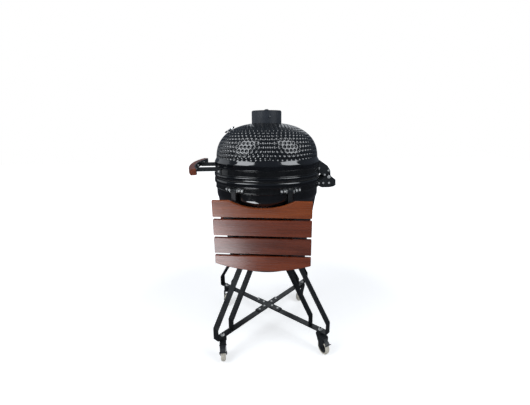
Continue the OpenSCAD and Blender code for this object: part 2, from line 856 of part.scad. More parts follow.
module near_slat_top() { color("#8a4526") side(0) slat_top_shape(); }
module far_slat_top() { color("#8a4526") side(1) slat_top_shape(); }
module near_slats_mid() { color("#7c3d22") side(0) slats_mid_shape(); }
module far_slats_mid() { color("#7c3d22") side(1) slats_mid_shape(); }
module near_slat_end() { color("#7c3d22") side(0) slat_end_shape(); }
module far_slat_end() { color("#7c3d22") side(1) slat_end_shape(); }
module near_arms() { color("#1a1b1d") side(0) shelf_arms(); }
module far_arms() { color("#1a1b1d") side(1) shelf_arms(); }
module near_screws() { color("#8b8e92") side(0) shelf_screw_shapes([0 : slat_count - 1], true); }
module far_screws() { color("#8b8e92") side(1) shelf_screw_shapes([0 : slat_count - 1], true); }

module shelf_bracket() {
    a1 = asin((shelf_arm_half - bracket_half) / saddle_r);
    a2 = asin((shelf_arm_half + bracket_half) / saddle_r);
    difference() {
        union() {
            difference() {
                for (y = [-bracket_cheek - cheek_t, bracket_cheek]) {
                    translate([pivot_n - 50, shelf_arm_half + y, pivot_z - ear_r])
                        cube([50, cheek_t, 2 * ear_r]);
                    rod_y(pivot_n, pivot_z, ear_r, shelf_arm_half + y, shelf_arm_half + y + cheek_t);
                }
                translate([0, 0, pivot_z - 20]) cylinder(r = band_r + plate_t / 2, h = 40);
            }
            sector(band_r, saddle_r, base_band_z - hinge_saddle_h / 2, base_band_z + hinge_saddle_h / 2,
                a1, a2);
        }
        rod_y(pivot_n, pivot_z, shelf_pin_r, shelf_arm_half - 40, shelf_arm_half + 40);
        for (b = bracket_bolts) band_bolt(asin((shelf_arm_half + b) / saddle_r), base_band_z, false);
    }
}

module shelf_brackets() {
    color("#1a1b1d") for (m = [0, 1]) mirror([0, m, 0]) rotate([0, 0, -90 - shelf_turn])
        for (s = [0, 1]) mirror([0, s, 0]) shelf_bracket();
}

module shelf_pins() {
    half = bracket_cheek + cheek_t;
    head = 3;
    color("#c4c7ca") for (m = [0, 1], s = [-1, 1]) side(m, 0)
        translate([s * shelf_arm_half, 0, 0]) rotate([0, 90, 0]) {
            translate([0, 0, -half - head]) cylinder(r = shelf_pin_r, h = 2 * (half + head));
            translate([0, 0, -half - head]) cylinder(r = shelf_pin_r + 3, h = head);
            translate([0, 0, half]) cylinder(r = shelf_pin_r + 3, h = head);
        }
}

// Stand
module each_leg() {
    for (a = castor_az) rotate([0, 0, a]) children();
}

module hoop_bolts(head) {
    each_leg() translate([0, 0, hoop_top - tab_h / 2]) rotate([0, 90, 0]) {
        translate([0, 0, hoop_in]) cylinder(r = bolt_r, h = hoop_t + strip_t + 2);
        if (head) translate([0, 0, hoop_out + strip_t]) cylinder(r = bolt_head_r, h = bolt_head_h, $fn = 6);
    }
}

module ring_bolts(head) {
    each_leg() translate([in_tab_r() - in_tab / 2, 0, ring_z - ring_t - strip_t]) {
        cylinder(r = bolt_r, h = ring_t + strip_t);
        if (head) translate([0, 0, -bolt_head_h]) cylinder(r = bolt_head_r, h = bolt_head_h, $fn = 6);
    }
}

module cross_bolts(head) {
    each_leg() for (r = cross_bolt_r) translate([r, 0, brace_z]) {
        cylinder(r = bolt_r, h = 2 * strip_t);
        if (head) translate([0, 0, 2 * strip_t]) cylinder(r = bolt_head_r + 1, h = bolt_head_h, $fn = 6);
    }
}

module leg_outer() {
    tab_r = hoop_out + strip_t / 2;
    outline = bent_strip([[leg_out_r, brace_top], [leg_out_r, foot_top], [tab_r, hoop_top - tab_h],
        [tab_r, hoop_top]], strip_t);
    color("#25272a") each_leg() difference() {
        plate_xz(outline, -strip_w / 2, strip_w / 2);
        translate([0, 0, hoop_top - tab_h / 2]) rotate([0, 90, 0]) cylinder(r = bolt_r, h = leg_out_r);
    }
}

module leg_inner() {
    tab_low = ring_z - ring_t - strip_t;
    lean_t = strip_t * 1.15;
    outline = bent_strip([[leg_in_r, brace_top], [leg_in_r, foot_top], [in_tab_r(), tab_low]], lean_t);
    color("#222427") each_leg() difference() {
        union() {
            plate_xz(outline, -strip_w / 2, strip_w / 2);
            translate([in_tab_r() - in_tab, -strip_w / 2, tab_low])
                cube([in_tab + lean_t / 2, strip_w, strip_t]);
        }
        translate([in_tab_r() - in_tab / 2, 0, tab_low - strip_t]) cylinder(r = bolt_r, h = 3 * strip_t);
    }
}

module stand_hoop() {
    color("#222427") difference() {
        ring(hoop_in, hoop_out, hoop_top - hoop_h, hoop_top);
        hoop_bolts(false);
    }
}

module stand_ring() {
    color("#222427") difference() {
        ring(ring_in, ring_out, ring_z - ring_t, ring_z);
        ring_bolts(false);
    }
}

module brace_arms() {
    color("#25272a") each_leg() difference() {
        translate([arm_start, -strip_w / 2, brace_z])
            cube([leg_out_r + strip_t / 2 - arm_start, strip_w, strip_t]);
        translate([castor_r, 0, brace_z - eps]) cylinder(r = stem_bolt_r, h = strip_t + 2 * eps);
        for (r = cross_bolt_r) translate([r, 0, brace_z - eps]) cylinder(r = bolt_r, h = strip_t + 2 * eps);
    }
}

module brace_cross() {
    w = strip_w + 4;
    color("#25272a") rotate([0, 0, 45]) difference() {
        union() {
            translate([-cross_half, -w / 2, brace_top]) cube([2 * cross_half, w, strip_t]);
            translate([-w / 2, -cross_half, brace_top]) cube([w, 2 * cross_half, strip_t]);
        }
        rotate([0, 0, -45]) cross_bolts(false);
    }
}

module stand_bolts() {
    color("#c4c7ca") {
        hoop_bolts(true);
        ring_bolts(true);
        cross_bolts(true);
    }
}

// Castors, built with the stem on the Z axis and the wheel trailing towards +X
module at_castor(i) {
    translate([castor_r * cos(castor_az[i]), castor_r * sin(castor_az[i]), 0])
        rotate([0, 0, castor_turn[i]]) children();
}

module castor_stems() {
    disc_z = head_top + run_gap;
    stem_top = brace_top + nut_h + 4;
    color("#4a4d50") for (i = [0 : 3]) at_castor(i) rotate_extrude() polygon([[0, head_low + 3],
        [spindle_r, head_low + 3], [spindle_r, disc_z], [head_r - 2, disc_z], [head_r - 2, brace_z],
        [stem_bolt_r, brace_z], [stem_bolt_r, stem_top], [0, stem_top]]);
}

module castor_nuts() {
    color("#d7d9da") for (i = [0 : 3]) at_castor(i) difference() {
        union() {
            translate([0, 0, brace_top]) cylinder(r = nut_af_r + 2, h = 1.5);
            translate([0, 0, brace_top + 1]) cylinder(r = nut_af_r, h = nut_h - 1, $fn = 6);
        }
        translate([0, 0, brace_z]) cylinder(r = stem_bolt_r, h = strip_t + 2 * nut_h);
    }
}

module fork(i) {
    cheek = [[-16, head_low], [trail - 12, wheel_r - 4], [trail - 5, wheel_r - 11], [trail + 5, wheel_r - 11],
        [trail + 12, wheel_r - 4], [trail + 14, wheel_d + 22], [head_r - 6, head_low + 8],
        [-16, head_low + 8]];
    out = fork_in + fork_t;
    color("#1d1e20") at_castor(i) union() {
        difference() {
            union() {
                for (s = [0, 1]) mirror([0, s, 0]) plate_xz(cheek, fork_in, out);
                translate([-16, -out, crown_low]) cube([16 + trail + 10, 2 * out, crown_t]);
                translate([0, 0, head_low]) cylinder(r = head_r, h = head_top - head_low);
            }
            translate([0, 0, head_low - eps]) cylinder(r = spindle_r + run_gap, h = brace_z - head_low);
            if (i < len(braked)) rod_y(pedal_x, pedal_z, pedal_pin_r + run_gap, -out - eps, out + eps);
        }
        rod_y(trail, wheel_r, axle_r, -out - 3, out + 3);
        for (s = [0, 1]) mirror([0, s, 0]) rod_y(trail, wheel_r, axle_r + 3, out, out + 3);
    }
}

module wheel(i) {
    half = wheel_w / 2;
    dish = 3;
    hub_r = wheel_r * 0.3;
    rim_r = wheel_r * 0.74;
    side = [[axle_r + run_gap, half], [hub_r, half], [hub_r + 1.5, half - dish], [rim_r, half - dish],
        [rim_r + 1.5, half], [wheel_r - 8, half], [wheel_r - 2.5, half - 3.5], [wheel_r, half - 8]];
    mirrored = [for (i = [len(side) - 1 : -1 : 0]) [side[i][0], -side[i][1]]];
    color("#cfc8ba") at_castor(i) translate([trail, 0, wheel_r]) rotate([90, 0, 0])
        rotate_extrude() polygon(concat(side, mirrored));
}

module pedal(i) {
    out = fork_in + fork_t;
    half = fork_in - 0.8;
    steps = 8;
    low_r = wheel_r + hood_gap;
    top_r = low_r + hood_t;
    angles = [for (k = [0 : steps]) hood_low_a + (hood_high_a - hood_low_a) * k / steps];
    color("#232527") at_castor(i) union() {
        rod_y(pedal_x, pedal_z, pedal_pin_r, -out - 2, out + 2);
        plate_xz(concat([for (a = angles) round_wheel(low_r, a)],
            [for (k = [steps : -1 : 0]) round_wheel(top_r, angles[k])]), -half, half);
        plate_xz([round_wheel(top_r - 1, hood_high_a - 4), [pedal_x - 5, pedal_z + 4],
            [pedal_x + 6, pedal_z + 4], round_wheel(top_r - 1, hood_high_a - 34)], -half + 1, half - 1);
        plate_xz([round_wheel(wheel_r + shoe_gap, shoe_a - 8), round_wheel(wheel_r + shoe_gap, shoe_a + 8),
            round_wheel(low_r + 1, shoe_a + 10), round_wheel(low_r + 1, shoe_a - 10)], -half + 2, half - 2);
        plate_xz([round_wheel(low_r, hood_low_a + 1), round_wheel(top_r + tab_out, hood_low_a + 1),
            round_wheel(top_r + tab_out, hood_low_a + 5), round_wheel(low_r, hood_low_a + 5)],
            -pedal_half, pedal_half);
    }
}

module fork_1() { fork(0); }
module fork_2() { fork(1); }
module fork_3() { fork(2); }
module fork_4() { fork(3); }
module wheel_1() { wheel(0); }
module wheel_2() { wheel(1); }
module wheel_3() { wheel(2); }
module wheel_4() { wheel(3); }
module pedal_1() { pedal(braked[0]); }
module pedal_2() { pedal(braked[1]); }

brace_arms();
brace_cross();
stand_bolts();
leg_outer();
leg_inner();
stand_hoop();
stand_ring();
castor_stems();
castor_nuts();
base_bowl();
base_gasket();
base_band();
base_bolts();
fire_box();
fire_ring();
charcoal_grate();
cooking_grate();
draft_frame();
draft_door();
hinge_base();
hinge_pin();
hinge_springs();
shelf_brackets();
shelf_pins();
lid_dome();
lid_gasket();
lid_band();
lid_bolts();
vent_cap();
vent_shutter();
vent_knob();
vent_screw();
handle_frame();
handle_bar();
handle_grip();
hinge_lid();
thermo_case();
thermo_dial();
thermo_glass();
thermo_needle();
near_slat_top();
near_slats_mid();
near_slat_end();
near_arms();
near_screws();
far_slat_top();
far_slats_mid();
far_slat_end();
far_arms();
far_screws();
fork_1();
fork_2();
fork_3();
fork_4();
wheel_1();
wheel_2();
wheel_3();
wheel_4();
pedal_1();
pedal_2();
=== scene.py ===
import json
from math import asin, atan, atan2, cos, hypot, pi, radians, sin

import bmesh
import bpy
import numpy as np
from mathutils import Matrix, Vector

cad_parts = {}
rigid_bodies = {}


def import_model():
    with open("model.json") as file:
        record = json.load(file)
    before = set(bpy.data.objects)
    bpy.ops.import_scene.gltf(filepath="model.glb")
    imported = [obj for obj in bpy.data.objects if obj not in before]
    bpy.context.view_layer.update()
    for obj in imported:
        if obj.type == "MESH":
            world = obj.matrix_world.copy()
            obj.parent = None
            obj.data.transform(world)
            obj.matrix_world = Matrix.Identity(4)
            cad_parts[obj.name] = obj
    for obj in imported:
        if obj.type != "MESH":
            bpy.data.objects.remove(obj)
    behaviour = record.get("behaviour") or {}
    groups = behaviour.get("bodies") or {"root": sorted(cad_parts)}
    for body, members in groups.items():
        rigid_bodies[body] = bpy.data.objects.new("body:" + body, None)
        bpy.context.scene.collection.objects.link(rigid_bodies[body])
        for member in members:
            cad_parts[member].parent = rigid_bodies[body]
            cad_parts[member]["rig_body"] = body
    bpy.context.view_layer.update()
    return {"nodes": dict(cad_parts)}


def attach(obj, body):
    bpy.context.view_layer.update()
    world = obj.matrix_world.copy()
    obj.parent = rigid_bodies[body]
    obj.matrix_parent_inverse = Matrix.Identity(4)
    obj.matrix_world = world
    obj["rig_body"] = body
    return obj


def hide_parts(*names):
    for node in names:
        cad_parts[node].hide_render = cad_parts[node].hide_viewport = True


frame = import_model()
nodes = frame["nodes"]
scene = bpy.context.scene

# Sizes in millimetres and turns in degrees, with the values of the part's source
MM = 0.001

# Ceramic bowl and the rims of bowl and lid
BODY_R = 268.0
SEAM_Z = 904.0
RIM_GAP = 2.0
WALL = 26.0
LIP_R = BODY_R + 8.0
SKIN_R = BODY_R - 2.0
COLLAR_R = BODY_R + 4.0
BASE_RIM = SEAM_Z - RIM_GAP
LID_RIM = SEAM_Z + RIM_GAP
SHOULDER_R = BODY_R - 7.0
SHOULDER_Z = SEAM_Z - 104.0
LOW_R = 207.0
RING_Z = 440.0
HOOP_TOP = RING_Z + 30.0
CAVITY_Z = RING_Z + 30.0
BOWL_SLOPE = (SHOULDER_R - LOW_R) / (SHOULDER_Z - HOOP_TOP)

# Dome and neck of the lid
DOME_R = BODY_R - 5.0
DOME_Z0 = SEAM_Z + 81.0
DOME_H = 185.0
DOME_FULL = 2.45
NECK_R = 60.0
NECK_HOLE_R = 44.0
NECK_TOP = 1202.8

# Steel bands
BAND_R = BODY_R + 2.0
BAND_H = 28.0
BASE_BAND_TOP = BASE_RIM - 25.0
BASE_BAND_LOW = BASE_BAND_TOP - BAND_H
LID_BAND_H = BAND_H + 3.5
LID_BAND_LOW = LID_RIM + 19.0
LID_BAND_TOP = LID_BAND_LOW + LID_BAND_H

# Thermometer
DIAL_FOOT = 187.0
DIAL_R = 28.5
BEZEL_W = 4.0
BEZEL_H = 4.0
CASE_DEPTH = 7.5
CASE_BACK = 2.0
PLATE_H = 0.8
PLATE_TOP = CASE_BACK + PLATE_H - CASE_DEPTH
BOSS_H = 1.0
SEAT_GAP = 0.4

# Handle grip
GRIP_HALF = 250.0
GRIP_AT = 366.0
GRIP_BOW = 31.0
GRIP_W = 28.0
GRIP_H = 28.0
GRIP_Z = LID_BAND_LOW + LID_BAND_H / 2 + 16.25

# Hinge pin
PIN_X = 322.0
PIN_Z = SEAM_Z - 12.0
PIN_R = 5.0

# Shelves
PIVOT_N = BAND_R - 14.0
PIVOT_Z = BASE_BAND_TOP - BAND_H / 2
SHELF_TURN = 10.0
SHELF_LEAN = 3.0
SHELF_W = 462.0
ARM_W = 20.0
SLAT_COUNT = 4
SLAT_W = 78.5
SLAT_T = 18.0
SLAT_TOP = 40.5
SLAT_PITCH = SLAT_W + 13.5
CUT_HALF = 153.0
CUT_DEEP = 37.0
END_DEEP = 37.0

# Stand
STRIP_W = 35.0
STRIP_T = 5.0
LEG_OUT_R = 400.0
LEG_IN_R = 297.0
BRACE_TOP = 116.0 + STRIP_T
FOOT_TOP = BRACE_TOP + 55.0
TAB_H = 22.0
IN_TAB = 26.0
RING_T = 6.0
HOOP_OUT = LOW_R + 0.2 + 5.0

# Castors
CASTOR_AZ = (225, 315, 45, 135)
CASTOR_TURN = (-86, -65, -127, -95)
CASTOR_R = 358.0
TRAIL = 30.0
WHEEL_R = 38.0
WHEEL_W = 24.0


def dome_z(r):
    return DOME_Z0 + DOME_H * (1 - (r / DOME_R) ** DOME_FULL) ** (1 / DOME_FULL)


def dome_tilt(r):
    u = r / DOME_R
    return atan(DOME_H / DOME_R * (1 - u ** DOME_FULL) ** (1 / DOME_FULL - 1) * u ** (DOME_FULL - 1))


def bowl_r(z):
    return SHOULDER_R - BOWL_SLOPE * (SHOULDER_Z - z)


# Node material helpers
class Paint:
    """A node material with one Principled shader."""

    def __init__(self, name, color, roughness, metallic=0.0, ior=1.5):
        self.material = bpy.data.materials.new(name)
        self.material.use_nodes = True
        self.tree = self.material.node_tree
        self.shader = self.tree.nodes["Principled BSDF"]
        self.set("Base Color", (*color, 1.0))
        self.set("Roughness", roughness)
        self.set("Metallic", metallic)
        self.set("IOR", ior)
        self.material.diffuse_color = (*color, 1.0)

    def set(self, socket, value):
        self.shader.inputs[socket].default_value = value

    def node(self, kind, **values):
        made = self.tree.nodes.new(kind)
        for key, value in values.items():
            setattr(made, key, value)
        return made

    def link(self, a, b):
        self.tree.links.new(a, b)

    def coords(self, output="Object", scale=(1, 1, 1), offset=(0, 0, 0)):
        source = self.node("ShaderNodeTexCoord")
        mapping = self.node("ShaderNodeMapping")
        mapping.inputs["Scale"].default_value = scale
        mapping.inputs["Location"].default_value = offset
        self.link(source.outputs[output], mapping.inputs["Vector"])
        return mapping.outputs["Vector"]

    def noise(self, vector, scale, detail=4.0, rough=0.55, warp=0.0):
        made = self.node("ShaderNodeTexNoise")
        made.inputs["Scale"].default_value = scale
        made.inputs["Detail"].default_value = detail
        made.inputs["Roughness"].default_value = rough
        made.inputs["Distortion"].default_value = warp
        self.link(vector, made.inputs["Vector"])
        return made.outputs["Fac"]

    def ramp(self, factor, stops):
        made = self.node("ShaderNodeValToRGB")
        line = made.color_ramp
        while len(line.elements) < len(stops):
            line.elements.new(0.5)
        for element, (at, color) in zip(line.elements, stops):
            element.position = at
            element.color = (*color, 1.0)
        self.link(factor, made.inputs["Fac"])
        return made.outputs["Color"]

    def span(self, factor, low, high, from_low=0.3, from_high=0.7):
        made = self.node("ShaderNodeMapRange")
        made.inputs["From Min"].default_value = from_low
        made.inputs["From Max"].default_value = from_high
        made.inputs["To Min"].default_value = low
        made.inputs["To Max"].default_value = high
        self.link(factor, made.inputs["Value"])
        return made.outputs["Result"]

    def mix(self, factor, a, b, mode="MIX"):
        made = self.node("ShaderNodeMix", data_type="RGBA", blend_type=mode)
        if isinstance(factor, float):
            made.inputs["Factor"].default_value = factor
        else:
            self.link(factor, made.inputs["Factor"])
        for socket, value in (("A", a), ("B", b)):
            target = [i for i in made.inputs if i.name == socket and i.type == "RGBA"][0]
            if isinstance(value, tuple):
                target.default_value = (*value, 1.0)
            else:
                self.link(value, target)
        return [o for o in made.outputs if o.type == "RGBA"][0]

    def color(self, output):
        self.link(output, self.shader.inputs["Base Color"])

    def rough(self, output):
        self.link(output, self.shader.inputs["Roughness"])

    def bump(self, height, strength, distance):
        made = self.node("ShaderNodeBump")
        made.inputs["Strength"].default_value = strength
        made.inputs["Distance"].default_value = distance
        self.link(height, made.inputs["Height"])
        self.link(made.outputs["Normal"], self.shader.inputs["Normal"])


def toned(color, factor):
    return tuple(min(c * factor, 1.0) for c in color)


def glaze():
    """Black glaze, faintly clouded and a little uneven."""
    p = Paint("glaze_black", (0.004, 0.0045, 0.0055), roughness=0.08, ior=1.8)
    at = p.coords()
    cloud = p.noise(at, scale=14.0, detail=3.0)
    p.color(p.ramp(cloud, ((0.3, (0.003, 0.0034, 0.0042)), (0.7, (0.005, 0.0057, 0.007)))))
    p.rough(p.span(p.noise(at, scale=60.0), low=0.05, high=0.11))
    p.bump(p.noise(at, scale=170.0, detail=2.0), strength=0.08, distance=0.0006)
    return p.material


def coated(name, color, roughness, grain=900.0, strength=0.12):
    """Coated steel or plastic with a fine grain."""
    p = Paint(name, color, roughness)
    at = p.coords()
    wide = p.noise(at, scale=9.0, detail=5.0)
    p.color(p.ramp(wide, ((0.3, toned(color, 0.8)), (0.7, toned(color, 1.25)))))
    uneven = p.noise(at, scale=45.0, detail=5.0)
    p.rough(p.span(uneven, low=roughness - 0.07, high=roughness + 0.09))
    p.bump(p.noise(at, grain, detail=3.0), strength, distance=0.0006)
    return p.material


def metal(name, color, roughness, metallic=1.0):
    """Bare or plated metal. A metallic under 1 is a dull plating."""
    grain = 260.0
    p = Paint(name, color, roughness, metallic)
    at = p.coords()
    p.color(p.ramp(p.noise(at, scale=70.0, detail=5.0), ((0.3, toned(color, 0.82)), (0.7, color))))
    p.rough(p.span(p.noise(at, grain), low=roughness - 0.08, high=roughness + 0.1))
    p.bump(p.noise(at, grain * 2, detail=3.0), strength=0.06, distance=0.0004)
    return p.material


def rough_stuff(name, low, high, roughness, scale, grain, strength, depth):
    """Clay, iron, felt, rubber or print: blotched between two colours, with a grain of the given depth."""
    p = Paint(name, high, roughness)
    at = p.coords()
    blot = p.noise(at, scale, detail=6.0, rough=0.62)
    p.color(p.ramp(blot, ((0.28, low), (0.72, high))))
    p.rough(p.span(blot, low=roughness - 0.06, high=min(roughness + 0.05, 1.0)))
    p.bump(p.noise(at, grain, detail=5.0, rough=0.65), strength, depth)
    return p.material


def print_stuff(name, low, high, roughness, scale=200.0):
    """Enamel or ink on the dial."""
    return rough_stuff(name, low, high, roughness, scale, grain=600.0, strength=0.05, depth=0.0003)


def wood(name, dark, mid, light, seed):
    """Stained hardwood with its grain along U, from a UV map in metres."""
    p = Paint(name, mid, roughness=0.3, ior=1.7)
    near = p.coords("UV", (1.0, 1.0, 1.0), (seed * 3.7, seed * 1.9, seed))
    fine = p.coords("UV", (9.0, 260.0, 1.0), (seed * 2.3, seed * 5.1, seed))
    band = p.coords("UV", (2.6, 34.0, 1.0), (seed * 1.3, seed * 2.9, seed))
    figure = p.noise(band, scale=1.0, warp=0.9)
    pores = p.noise(fine, scale=1.0, detail=5.0, rough=0.6)
    cloud = p.noise(near, scale=7.0, detail=3.0)
    base = p.ramp(figure, ((0.3, dark), (0.52, mid), (0.74, light)))
    streak = p.ramp(pores, ((0.34, (0.55, 0.52, 0.5)), (0.54, (1.0, 1.0, 1.0))))
    streaked = p.mix(0.45, base, streak, "MULTIPLY")
    shade = p.ramp(cloud, ((0.3, (0.82, 0.8, 0.8)), (0.7, (1.1, 1.06, 1.04))))
    p.color(p.mix(0.8, streaked, shade, "MULTIPLY"))
    p.rough(p.span(pores, low=0.3, high=0.22))
    p.bump(pores, strength=0.1, distance=0.0006)
    return p.material


def glass():
    p = Paint("dial_glass_clear", (1.0, 1.0, 1.0), roughness=0.03, ior=1.46)
    p.set("Transmission Weight", 1.0)
    p.rough(p.span(p.noise(p.coords(), scale=30.0), low=0.02, high=0.05))
    return p.material


FINISH = {
    "glaze": glaze(),
    "black": coated("black_coat", (0.0105, 0.0115, 0.013), 0.26, grain=700.0, strength=0.06),
    "fitting": coated("fitting_coat", (0.02, 0.0222, 0.0247), 0.3, grain=700.0, strength=0.06),
    "band": coated("band_coat", (0.0072, 0.0076, 0.0083), 0.14, grain=300.0, strength=0.015),
    "stand": coated("stand_coat", (0.0068, 0.0079, 0.0092), 0.34),
    "cap": coated("cap_coat", (0.022, 0.0265, 0.0345), 0.5, grain=520.0, strength=0.08),
    "fork": coated("fork_coat", (0.016, 0.017, 0.019), 0.4),
    "hub": coated("hub_plastic", (0.022, 0.023, 0.025), 0.5),
    "zinc": metal("zinc_plate", (0.8, 0.8, 0.78), 0.36, metallic=0.45),
    "dark_zinc": metal("dark_zinc", (0.32, 0.33, 0.34), 0.36),
    "rod": metal("rod_steel", (0.66, 0.66, 0.67), 0.32),
    "chrome": metal("bezel_chrome", (0.8, 0.8, 0.81), 0.14),
    "felt": rough_stuff("felt_grey", (0.02, 0.02, 0.02), (0.05, 0.05, 0.05), roughness=0.95,
                        scale=300.0, grain=1500.0, strength=0.6, depth=0.001),
    "clay": rough_stuff("fire_clay", (0.3, 0.24, 0.18), (0.5, 0.42, 0.33), roughness=0.9,
                        scale=35.0, grain=420.0, strength=0.45, depth=0.0015),
    "iron": rough_stuff("grate_iron", (0.02, 0.02, 0.02), (0.055, 0.053, 0.05), roughness=0.62,
                        scale=60.0, grain=380.0, strength=0.5, depth=0.0012),
    "tread": rough_stuff("tread_beige", (0.56, 0.51, 0.42), (0.72, 0.67, 0.57), roughness=0.5,
                         scale=40.0, grain=300.0, strength=0.15, depth=0.0008),
    "face": print_stuff("dial_white", (0.8, 0.8, 0.77), (0.88, 0.88, 0.85), 0.55, scale=90.0),
    "ink": print_stuff("dial_ink", (0.01, 0.01, 0.01), (0.02, 0.02, 0.02), 0.6),
    "red": print_stuff("needle_red", (0.4, 0.02, 0.012), (0.52, 0.035, 0.02), 0.45),
    "glass": glass(),
}
WOODS = [
    wood("wood_top", (0.19, 0.04, 0.0085), (0.262, 0.057, 0.0125), (0.325, 0.077, 0.018), 1.0),
    wood("wood_two", (0.152, 0.03, 0.0105), (0.205, 0.04, 0.0145), (0.255, 0.054, 0.0195), 2.0),
    wood("wood_three", (0.116, 0.0245, 0.0108), (0.157, 0.0335, 0.015), (0.2, 0.045, 0.02), 3.0),
    wood("wood_end", (0.172, 0.033, 0.0105), (0.232, 0.046, 0.015), (0.29, 0.062, 0.02), 4.0),
]
GRIP_WOOD = wood("wood_grip", (0.12, 0.03, 0.013), (0.19, 0.049, 0.021), (0.27, 0.08, 0.037), 5.0)


# Geometry helpers
# A piece with fewer faces than this gets weighted normals, so that its flat faces look flat beside a bevel
WEIGHTED_FACES = 40000
# Points of a CAD mesh nearer than this, in metres, become one point
SAME_POINT = 0.00001
# Faces of a CAD mesh that turn by less than this, in degrees, become one face
SAME_FACE = 0.8
# The most of an edge that one fillet takes
EDGE_SHARE = 0.49
# A corner stays as it is if half its turn, in radians, is less than this
STRAIGHT = 0.01


def add_piece(name, verts, faces, material, body, stands_for=(), place=None, sharp=35.0):
    """A new piece from points in millimetres."""
    mesh = bpy.data.meshes.new(name)
    mesh.from_pydata([(v[0] * MM, v[1] * MM, v[2] * MM) for v in verts], [], faces)
    mesh.update()
    return finish_piece(name, mesh, material, body, stands_for, place, sharp)


def finish_piece(name, mesh, material, body, stands_for=(), place=None, sharp=35.0):
    """An object of a mesh, shaded smooth up to a turn of sharp degrees, that rides on a body."""
    mesh.materials.clear()
    mesh.materials.append(material)
    mesh.shade_smooth()
    mesh.set_sharp_from_angle(angle=radians(sharp))
    obj = bpy.data.objects.new(name, mesh)
    scene.collection.objects.link(obj)
    if len(mesh.polygons) < WEIGHTED_FACES:
        obj.modifiers.new("flat_faces", "WEIGHTED_NORMAL").keep_sharp = True
    if place is not None:
        obj.matrix_world = place
    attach(obj, body)
    if stands_for:
        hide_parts(*stands_for)
    return obj


def soften(bm, edges, radius, segments=3, profile=0.5):
    """Rounds edges by a bevel, with its size in millimetres."""
    bmesh.ops.bevel(bm, geom=edges, offset=radius * MM, segments=segments, profile=profile,
                    affect="EDGES", clamp_overlap=True)


def dress(node, material, bevel):
    """A clean copy of a CAD node's mesh with its sharp edges rounded, standing for the node."""
    sharp = radians(32.0)
    bm = bmesh.new()
    bm.from_mesh(nodes[node].data)
    bmesh.ops.remove_doubles(bm, verts=bm.verts, dist=SAME_POINT)
    bmesh.ops.dissolve_limit(bm, angle_limit=radians(SAME_FACE), verts=bm.verts, edges=bm.edges)
    if bevel:
        bm.normal_update()
        edges = [e for e in bm.edges if len(e.link_faces) == 2 and e.calc_face_angle(0.0) > sharp]
        soften(bm, edges, bevel, segments=2, profile=0.6)
    mesh = bpy.data.meshes.new(node + "_mesh")
    bm.to_mesh(mesh)
    bm.free()
    return finish_piece(node + "_look", mesh, material, nodes[node]["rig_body"], (node,))


def filleted(points, radii, closed=False, steps=5):
    """Points of a polyline with its corners rounded, by one radius for all corners or one for each."""
    out = []
    count = len(points)
    for i, point in enumerate(points):
        r = radii[i] if isinstance(radii, (list, tuple)) else radii
        if r <= 0 or (not closed and i in (0, count - 1)):
            out.append(tuple(point))
            continue
        p, a, b = Vector(point), Vector(points[i - 1]), Vector(points[(i + 1) % count])
        u, v = (a - p).normalized(), (b - p).normalized()
        half = u.angle(v, pi) / 2
        if half > pi / 2 - STRAIGHT:
            out.append(tuple(p))
            continue
        reach = min(r / np.tan(half), (a - p).length * EDGE_SHARE, (b - p).length * EDGE_SHARE)
        true_r = reach * np.tan(half)
        centre = p + (u + v).normalized() * (true_r / sin(half))
        start, end = p + u * reach - centre, p + v * reach - centre
        turn = start.angle(end, 0.0)
        for k in range(steps + 1):
            t = k / steps
            w = (start * sin((1 - t) * turn) + end * sin(t * turn)) / sin(turn)
            out.append(tuple(centre + w))
    return out


def rounded(corners, closed=False, steps=5):
    """Points of a polyline from corners that each give two coordinates and a fillet's radius."""
    return filleted([corner[:2] for corner in corners], [corner[2] for corner in corners], closed, steps)


def mirrored(half):
    """A closed profile from its upper half: the half turned over, then the half run back."""
    return [(r, -z, fillet) for r, z, fillet in half] + half[::-1]


def lathe(profile, cols, a0=0.0, a1=360.0):
    """A closed profile of (radius, height) turned about Z by degrees a0 to a1, with end caps on a sector."""
    full = a1 - a0 == 360.0
    ring = cols if full else cols + 1
    n = len(profile)
    verts, faces = [], []
    for i in range(ring):
        a = radians(a0 + (a1 - a0) * i / cols)
        verts += [(r * cos(a), r * sin(a), z) for r, z in profile]
    for i in range(cols):
        p, q = i * n, ((i + 1) % ring) * n
        for k in range(n):
            m = (k + 1) % n
            faces.append((p + k, q + k, q + m, p + m))
    if not full:
        faces.append(tuple(range(n)))
        faces.append(tuple(range((ring - 1) * n, ring * n))[::-1])
    return verts, faces


def recalc(obj):
    """Turns all faces of a piece outwards."""
    bm = bmesh.new()
    bm.from_mesh(obj.data)
    bmesh.ops.recalc_face_normals(bm, faces=bm.faces)
    bm.to_mesh(obj.data)
    bm.free()
    return obj


def sweep(path, sides, ups, profile):
    """A closed profile carried along a path with capped ends, by a side and an up direction at each point."""
    verts, faces = [], []
    n = len(profile)
    for p, s, u in zip(path, sides, ups):
        verts += [tuple(Vector(p) + Vector(s) * x + Vector(u) * y) for x, y in profile]
    for i in range(len(path) - 1):
        for k in range(n):
            m = (k + 1) % n
            faces.append((i * n + k, i * n + m, (i + 1) * n + m, (i + 1) * n + k))
    faces.append(tuple(range(n))[::-1])
    faces.append(tuple(range((len(path) - 1) * n, len(path) * n)))
    return verts, faces


def joined(parts):
    verts, faces = [], []
    for v, f in parts:
        base = len(verts)
        verts += list(v)
        faces += [tuple(base + i for i in face) for face in f]
    return verts, faces


def moved(part, matrix):
    verts, faces = part
    return [tuple(matrix @ Vector(v)) for v in verts], faces


def turn_z(deg):
    return Matrix.Rotation(radians(deg), 4, "Z")


